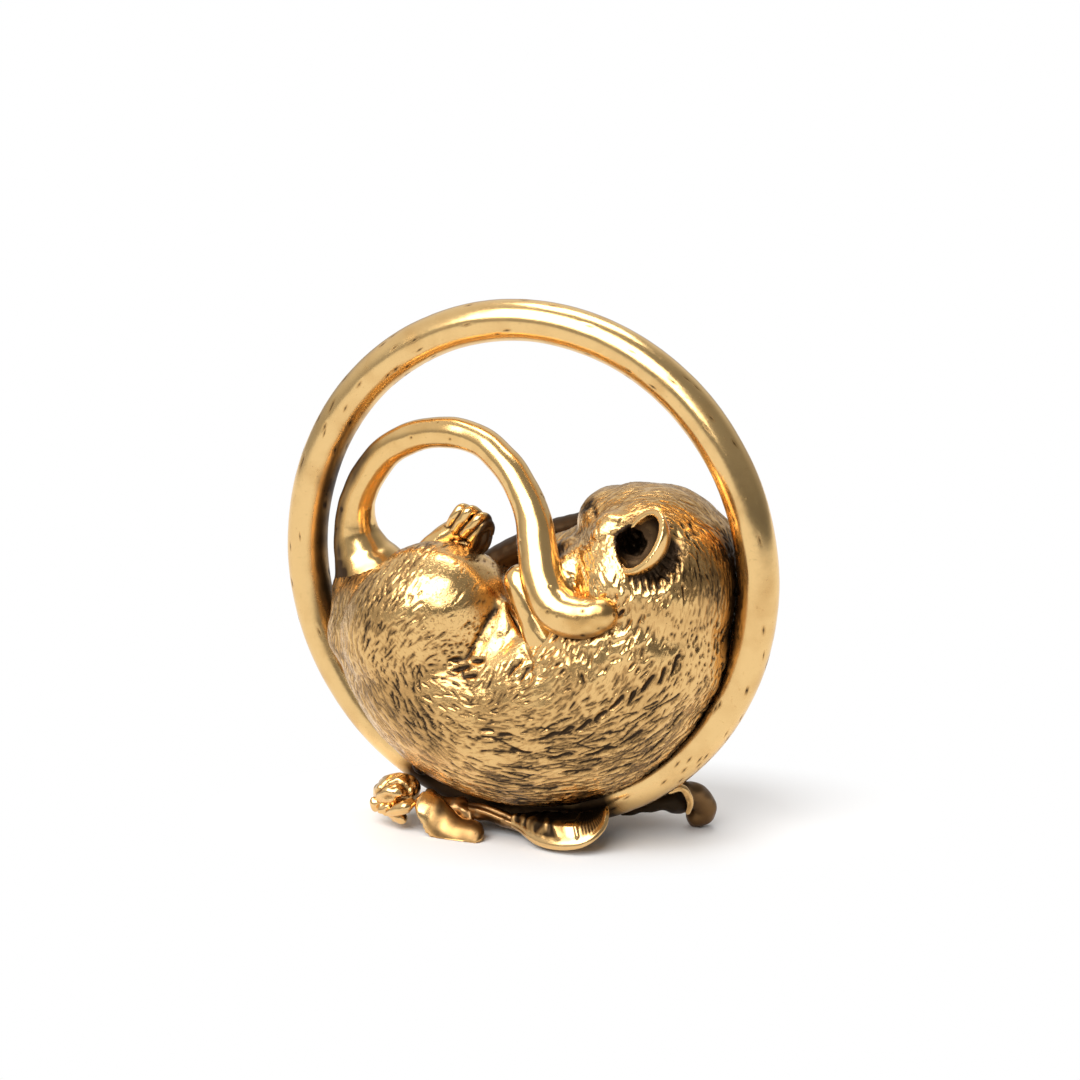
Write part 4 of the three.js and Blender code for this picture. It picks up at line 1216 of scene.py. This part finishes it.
# The husk's folds: pixels, width, depth and patina; and its swellings: pixel, radius and height
HUSK_FOLDS = [
    ([(374, 798), (380, 790), (388, 784), (397, 782), (404, 785), (409, 791), (411, 798)], 0.22, 0.32, 0.9),
    ([(390, 790), (398, 787), (403.5, 791.5), (401, 797)], 0.16, 0.22, 0.7),
    ([(409, 775.5), (410.5, 783), (409.5, 790)], 0.20, 0.30, 0.8),
    ([(415.5, 778), (417, 786), (414, 794)], 0.18, 0.26, 0.8),
    ([(381, 787), (388, 780.5), (398, 778)], 0.15, 0.14, 0.4),
    ([(383, 797), (392, 796), (399, 799), (408, 800)], 0.20, 0.28, 0.9),
]
HUSK_SWELLINGS = [(397, 793, 0.7, 0.28), (413, 785, 0.5, 0.22), (384, 790, 0.7, 0.16), (400, 779, 0.6, 0.16)]


def vein(sheet, lines, share, across, depth):
    """Presses veins in a leaf: lines (count along, slope towards the edge, width) and the midrib."""
    leaf = Sculpture(sheet)
    count, slope, width = lines
    wave = (share * count - np.abs(across) * slope) % 1.0 - 0.5
    rib = bell(wave, width) * np.clip(1.1 - np.abs(across), 0, 1)
    middle = bell(across, 0.10)
    leaf.push(-depth * rib)
    leaf.push(1.5 * depth * middle)
    leaf.ink = 0.7 * rib * (1 - middle)
    return leaf


def blade(edges, back, front, thickness, cup):
    """A blade between (upper, lower) edge pixels, its upper edge at the back and its lower at the front."""
    rows = []
    for upper, lower in edges:
        far = at_pixel(*upper, back) + ANIMAL
        near = at_pixel(*lower, front) + ANIMAL
        rows.append((*(0.5 * (far + near)), *(0.5 * (near - far)), thickness))
    return strap(rows, cup=cup, ends=0.12)


def tongue_leaf():
    """A fleshy leaf that curls down to the floor like a tongue."""
    sheet, share, across, side = blade(TONGUE, TONGUE_BACK, TONGUE_FRONT, 0.46, -0.14)
    rng = np.random.default_rng(21)
    leaf = Sculpture(sheet)
    leaf.roughen(0.03, 2.4, rng)
    leaf.update()
    rim = bell(np.abs(across) - 0.93, 0.10)
    notches = rim * (0.5 + 0.5 * np.sin(share * 75)) * (side < 0.3)
    leaf.push(-0.10 * notches)
    leaf.update()
    leaf.ink = 0.5 * notches + 0.12 * unevenness(leaf.places, 1.6, rng)
    leaf.ink += 0.62 * rising(share, 0.2, 0.15) * (1 - rim) * (side > 0)
    leaf.stand_on_floor()
    leaf.update()
    store_patina_and_shade(sheet, leaf.ink)
    return sheet


def folded_leaf():
    """A short leaf with soft folds between the tongue leaf and the stalk."""
    sheet = blade(FOLDED, FOLDED_BACK, FOLDED_FRONT, 0.42, -0.25)[0]
    leaf = Sculpture(sheet)
    leaf.roughen(0.14, 1.5, np.random.default_rng(24))
    leaf.darken_hollows(12, 0.08)
    store_patina_and_shade(sheet, leaf.ink)
    return sheet


def rolled_leaf():
    """A leaf rolled into a hood, with a hollow at its near side; the hood, the hollow and the stem carry
    painted shade.
    """
    clay = model([roll(by_eye(HOOD, ANIMAL)), roll(by_eye(HOOD_STEM, ANIMAL))], 0.12, 8, "hood")
    cut_away(clay, face_outwards(roll(by_eye(HOOD_HOLLOW, ANIMAL))))
    clay = model([clay], 0.11, 3, "hood")
    leaf = Sculpture(clay)
    leaf.roughen(0.05, 1.6, np.random.default_rng(23))
    leaf.stand_on_floor()
    leaf.darken_hollows(20, 0.10)
    # Painted shade in the hood's hollow.
    to_hollow = gap_to(leaf.places, middle_line(by_eye(HOOD_HOLLOW, ANIMAL)))[0]
    leaf.ink += bell(np.maximum(to_hollow - 0.8, 0), 0.35)
    # Painted shade: the hood darker all over, and the stem darkest where it runs under the hoop.
    stem = pixels_of(leaf.places - np.array(ANIMAL))[0] < STEM_SHADE_END
    store_patina_and_shade(clay, leaf.ink + 0.4 + 0.6 * stem)
    return clay


def rear_leaf():
    """A flat leaf behind the hoop, pressed with veins."""
    sheet, share, across, _ = strap(with_side(REAR, REAR_SIDE, REAR_HALF), cup=-0.18, bead=0.3)
    leaf = vein(sheet, (10, 3.0, 0.13), share, across, 0.09)
    leaf.darken_hollows(12, 0.08)
    store_patina_and_shade(sheet, leaf.ink)
    return sheet


def tendril():
    """A pale curl that hangs in front of the rolled leaf."""
    clay = model([roll(by_eye(TENDRIL, ANIMAL))], 0.07, 3, "tendril")
    skin = Sculpture(clay)
    groove = [point + 0.3 * np.array(CAMERA_BACK) for point in middle_line(by_eye(TENDRIL, ANIMAL))]
    skin.carve(groove, 0.12, 0.08, 0.5)
    skin.update()
    store_patina_and_shade(clay, skin.ink)
    return clay


def front_leaf():
    """The leaf under the belly: a shelf that turns down to a lit apron, with a thick polished rim."""
    steps = np.linspace(0, 1, 13)
    rim_line = [tuple(at_pixel(*pixel, y) + ANIMAL) for pixel, y in FRONT_RIM]
    roots, rims = smooth_line(FRONT_ROOT, steps), smooth_line(rim_line, steps)
    rows = [(*(0.5 * (a + b)), *(0.5 * (b - a)), 0.36) for a, b in zip(roots, rims)]
    sheet, share, across, side = strap(rows, bead=0.2, ends=0.05, around=96, along=200)
    rng = np.random.default_rng(22)
    leaf = Sculpture(sheet)
    out = (across + 1) / 2
    drop = smooth_line(rim_line, share) - smooth_line(FRONT_ROOT, share)
    leaf.places[:, 2] += drop[:, 2] * (rising(out, 0.55, 0.45) ** 1.4 - out)
    leaf.places[:, 1] += drop[:, 1] * (rising(out, 0, 0.62) * 0.84 + rising(out, 0.62, 0.38) * 0.16 - out)
    leaf.update()
    inside = falling(across, 0.82, 0.12) * (side > 0)
    left, right = falling(share, 0.52, 0.08), rising(share, 0.60, 0.03)
    folds = np.sin(share * 58 + unevenness(leaf.places, 1.8, rng))
    folds = folds + 0.3 * unevenness(leaf.places, 0.8, rng)
    veins = np.sin(share * 230 + 8 * across)
    midrib = bell(share - 0.585, 0.012) * inside
    leaf.push(inside * (0.08 * left * folds + 0.015 * right * veins) + 0.12 * midrib)
    rim = bell(across - 0.94, 0.09)
    leaf.push(0.10 * rim)
    leaf.stand_on_floor()
    leaf.update()
    leaf.darken_hollows(15, 0.25)
    leaf.ink = 0.6 * leaf.ink + inside * (left * (0.70 - 0.26 * folds) + right * (0.78 - 0.14 * veins))
    # Painted shadow where the leaf runs in under the belly.
    leaf.ink += falling(across, 0.05, 0.3)
    leaf.ink *= (1 - 0.95 * rim) * (1 - 0.8 * midrib)
    store_patina_and_shade(sheet, leaf.ink)
    return sheet


def husk():
    """The blossom's husk: a round dome of folded petals."""
    clay = model([lump(at_pixel(*HUSK_AT[0], HUSK_AT[1]), HUSK_RADII, (0, -12, 0))], 0.07, 2, "husk")
    skin = Sculpture(clay)
    for px, py, radius, height in HUSK_SWELLINGS:
        point, _ = skin.seen(px, py)
        if point is not None:
            skin.swell(point, radius, height)
    for pixels, width, depth, ink in HUSK_FOLDS:
        path = skin.trace(pixels)
        if len(path) > 1:
            skin.carve(path, width, depth, ink)
    skin.update()
    skin.roughen(0.05, 1.1, np.random.default_rng(31))
    skin.update()
    skin.ink *= 0.8
    skin.darken_hollows(20, 0.20)
    store_patina_and_shade(clay, skin.ink)
    return clay


def bud(index):
    """A small round bud with a dimple."""
    ((px, py), y), radii = BUDS[index]
    at = at_pixel(px, py, y) + ANIMAL
    side = Vector((0.35, -0.15, 0.25)) if index % 2 else Vector((-0.3, -0.1, 0.3))
    clay = model([lump(at, radii, (0, 25, 0)), lump(at + side, [0.62 * r for r in radii])], 0.1, 4, "bud")
    skin = Sculpture(clay)
    skin.roughen(0.06, 0.9, np.random.default_rng(40 + index))
    skin.darken_hollows(12, 0.06)
    store_patina_and_shade(clay, skin.ink)
    return clay


def lip():
    """The husk's curled lip."""
    clay = model([roll(by_eye(LIP, ANIMAL))], 0.1, 5, "lip")
    store_patina_and_shade(clay, dress_limb(clay, 32).ink)
    return clay


def twig():
    """The stalk that the leaves grow from, twisted, with bark lines and two knots."""
    path = by_eye(TWIG, ANIMAL)
    knots = [lump(path[1][:3], (1.0, 0.9, 0.85)), lump(path[3][:3], (0.85, 0.8, 0.8))]
    clay = model([roll(path), *knots], 0.1, 4, "twig")
    skin = dress_limb(clay, 33)
    lines = np.sin(skin.places[:, 1] * 7 + skin.places[:, 2] * 6 + 1.6 * skin.places[:, 0])
    skin.push(0.06 * lines)
    skin.update()
    store_patina_and_shade(clay, skin.ink + 0.1 - 0.3 * lines)
    return clay


def make_figurine():
    """All the pieces, each standing for its own node."""
    ring, tail_piece = hoop(), tail()
    ears = ear(-1), ear(1)
    torso, (head, near_haunch, far_haunch) = body(tail_piece, ears)
    on_animal = [
        (ring, "hoop_ring", "hoop", "hoop_brass"),
        (tail_piece, "tail_smooth", "tail", "smooth_brass"),
        (torso, "torso_fur", "torso", "fur_brass"),
        (head, "head_fur", "head", "fur_brass"),
        (near_haunch, "haunch_left_fur", "haunch_left", "fur_brass"),
        (far_haunch, "haunch_right_fur", "haunch_right", "fur_brass"),
        (ears[0], "ear_left_cup", "ear_left", "smooth_brass"),
        (ears[1], "ear_right_cup", "ear_right", "smooth_brass"),
        (near_arm(), "foreleg_left_skin", "foreleg_left", "smooth_brass"),
        (far_arm(), "foreleg_right_skin", "foreleg_right", "smooth_brass"),
        (near_foot(), "hind_foot_left_skin", "hind_foot_left", "smooth_brass"),
        (far_foot(), "hind_foot_right_skin", "hind_foot_right", "smooth_brass"),
        (husk(), "husk_folds", "blossom_husk", "leaf_brass"),
    ]
    on_floor = [
        (lip(), "husk_lip_curl", "blossom_lip", "leaf_brass"),
        (bud(0), "bud_1_round", "bud_1", "leaf_brass"),
        (bud(1), "bud_2_round", "bud_2", "leaf_brass"),
        (bud(2), "bud_3_round", "bud_3", "leaf_brass"),
        (tongue_leaf(), "tongue_leaf_blade", "leaf_tongue", "leaf_brass"),
        (front_leaf(), "front_leaf_blade", "leaf_front", "leaf_brass"),
        (tendril(), "tendril_curl", "tendril", "leaf_brass"),
        (folded_leaf(), "folded_leaf_blade", "leaf_folded", "dark_brass"),
        (twig(), "twig_bark", "twig", "dark_brass"),
        (rolled_leaf(), "rolled_leaf_hood", "leaf_rolled", "dark_brass"),
        (rear_leaf(), "rear_leaf_blade", "leaf_rear", "dark_brass"),
    ]
    for row in on_animal:
        finish_piece(*row, ANIMAL)
    for row in on_floor:
        finish_piece(*row, FLOOR)


make_figurine()


# Stage: a pale floor that keeps the shadow and fades to white, and soft studio light

def camera():
    """The photograph's view, a little to the right and above."""
    turn = Matrix((CAMERA_RIGHTWARD, CAMERA_UPWARD, CAMERA_BACK)).transposed().to_euler()
    bpy.ops.object.camera_add(location=(ANIMAL + CAMERA_PLACE) * MM, rotation=turn)
    eye = take("camera")
    eye.data.sensor_width = SENSOR
    eye.data.lens = LENS
    eye.data.clip_start = 0.01
    eye.data.clip_end = 10.0
    bpy.context.scene.camera = eye


# The floor's shade fades out round an oval: its middle and its half length and width, in metres.
SHADOW_MIDDLE, SHADOW_REACH = (0.0020, 0.0053, 0), (0.030, 0.017, 1)
FLOOR_TONE, WHITE = (0.93, 0.925, 0.92, 1), (1, 1, 1, 1)


def floor():
    """A pale round floor; its shade fades to white away from the figurine."""
    bpy.ops.mesh.primitive_circle_add(vertices=96, radius=2.0, fill_type="NGON", location=(0, 0, 0))
    ground = take("floor")
    material = bpy.data.materials.new("floor")
    wiring = Wiring(material, bare=True)
    place = wiring.add("TexCoord")["Object"]
    oval = wiring.add("Mapping", {"Vector": place, "Location": SHADOW_MIDDLE, "Rotation": (0, 0, AZIMUTH),
                                  "Scale": SHADOW_REACH}, vector_type="TEXTURE")[0]
    away = wiring.add("VectorMath", {0: oval}, operation="LENGTH")["Value"]
    fade = wiring.spread(away, 0.70, 1.2, 0.0, 1.0)
    path = wiring.add("LightPath")
    seen = wiring.maths("MAXIMUM", path["Is Camera Ray"], path["Is Glossy Ray"])
    matt = wiring.add("BsdfDiffuse", {"Color": FLOOR_TONE})[0]
    white = wiring.add("Emission", {"Color": WHITE})[0]
    mixed = wiring.add("MixShader", {0: wiring.maths("MULTIPLY", fade, seen), 1: matt, 2: white})[0]
    wiring.add("OutputMaterial", {"Surface": mixed})
    ground.data.materials.append(material)


def softbox(name, at, aim, size, power):
    """A flat lamp of a size in metres and a power in watts that shines at a point."""
    bpy.ops.object.light_add(type="AREA", location=at)
    lamp = take(name)
    lamp.data.shape = "RECTANGLE"
    lamp.data.size, lamp.data.size_y = size
    lamp.data.energy = power
    lamp.rotation_euler = (Vector(aim) - Vector(at)).to_track_quat("-Z", "Y").to_euler()


# The big lamp stands high on the viewer's left, and the room is darkest on the viewer's right.
# The lamps' places are taken from the middle of the hoop, in metres.
KEY_AT, KEY_SIZE, KEY_POWER = Vector((-0.12, -0.72, 0.68)) * 0.6, (0.60, 0.45), 4.8
TOP_AT, TOP_SIZE, TOP_POWER = Vector((-0.05, 0.12, 0.5)), (0.30, 0.20), 1.2
DARK_SIDE = (0.75, -0.45, 0.48)


def studio():
    """World and lamps."""
    world = bpy.data.worlds.new("studio")
    bpy.context.scene.world = world
    wiring = Wiring(world, bare=True)
    sky = wiring.add("TexCoord")["Generated"]
    path = wiring.add("LightPath")

    def towards(way):
        """How far a direction in the sky turns towards another."""
        return wiring.add("VectorMath", {0: sky, 1: way}, operation="DOT_PRODUCT")["Value"]

    upward = towards((0, 0, 1))
    shade = wiring.spread(towards(DARK_SIDE), -0.35, 0.75, 1.0, 0.34, "SMOOTHSTEP")
    horizon = wiring.spread(upward, 0.05, 0.50, 0.50, 1.0, "SMOOTHSTEP")
    # Only the floor is matt: it gets little light from low in the sky, and so it keeps its shadow.
    held_back = wiring.maths("MULTIPLY", wiring.spread(upward, 0.15, 0.7, 0.95, 0.0), path["Is Diffuse Ray"])
    strength = wiring.maths("MULTIPLY", wiring.maths("MULTIPLY", shade, horizon),
                            wiring.maths("SUBTRACT", 1.0, held_back))
    around = wiring.add("Background", {"Strength": strength})[0]
    behind = wiring.add("Background", {"Color": WHITE})[0]
    mixed = wiring.add("MixShader", {0: path["Is Camera Ray"], 1: around, 2: behind})[0]
    wiring.add("OutputWorld", {"Surface": mixed})
    middle = Vector((0, 0, HOOP_HEIGHT * MM))
    softbox("key_softbox", middle + KEY_AT, middle, KEY_SIZE, KEY_POWER)
    softbox("top_softbox", middle + TOP_AT, middle, TOP_SIZE, TOP_POWER)


camera()
floor()
studio()
bpy.context.scene.view_settings.view_transform = "Standard"
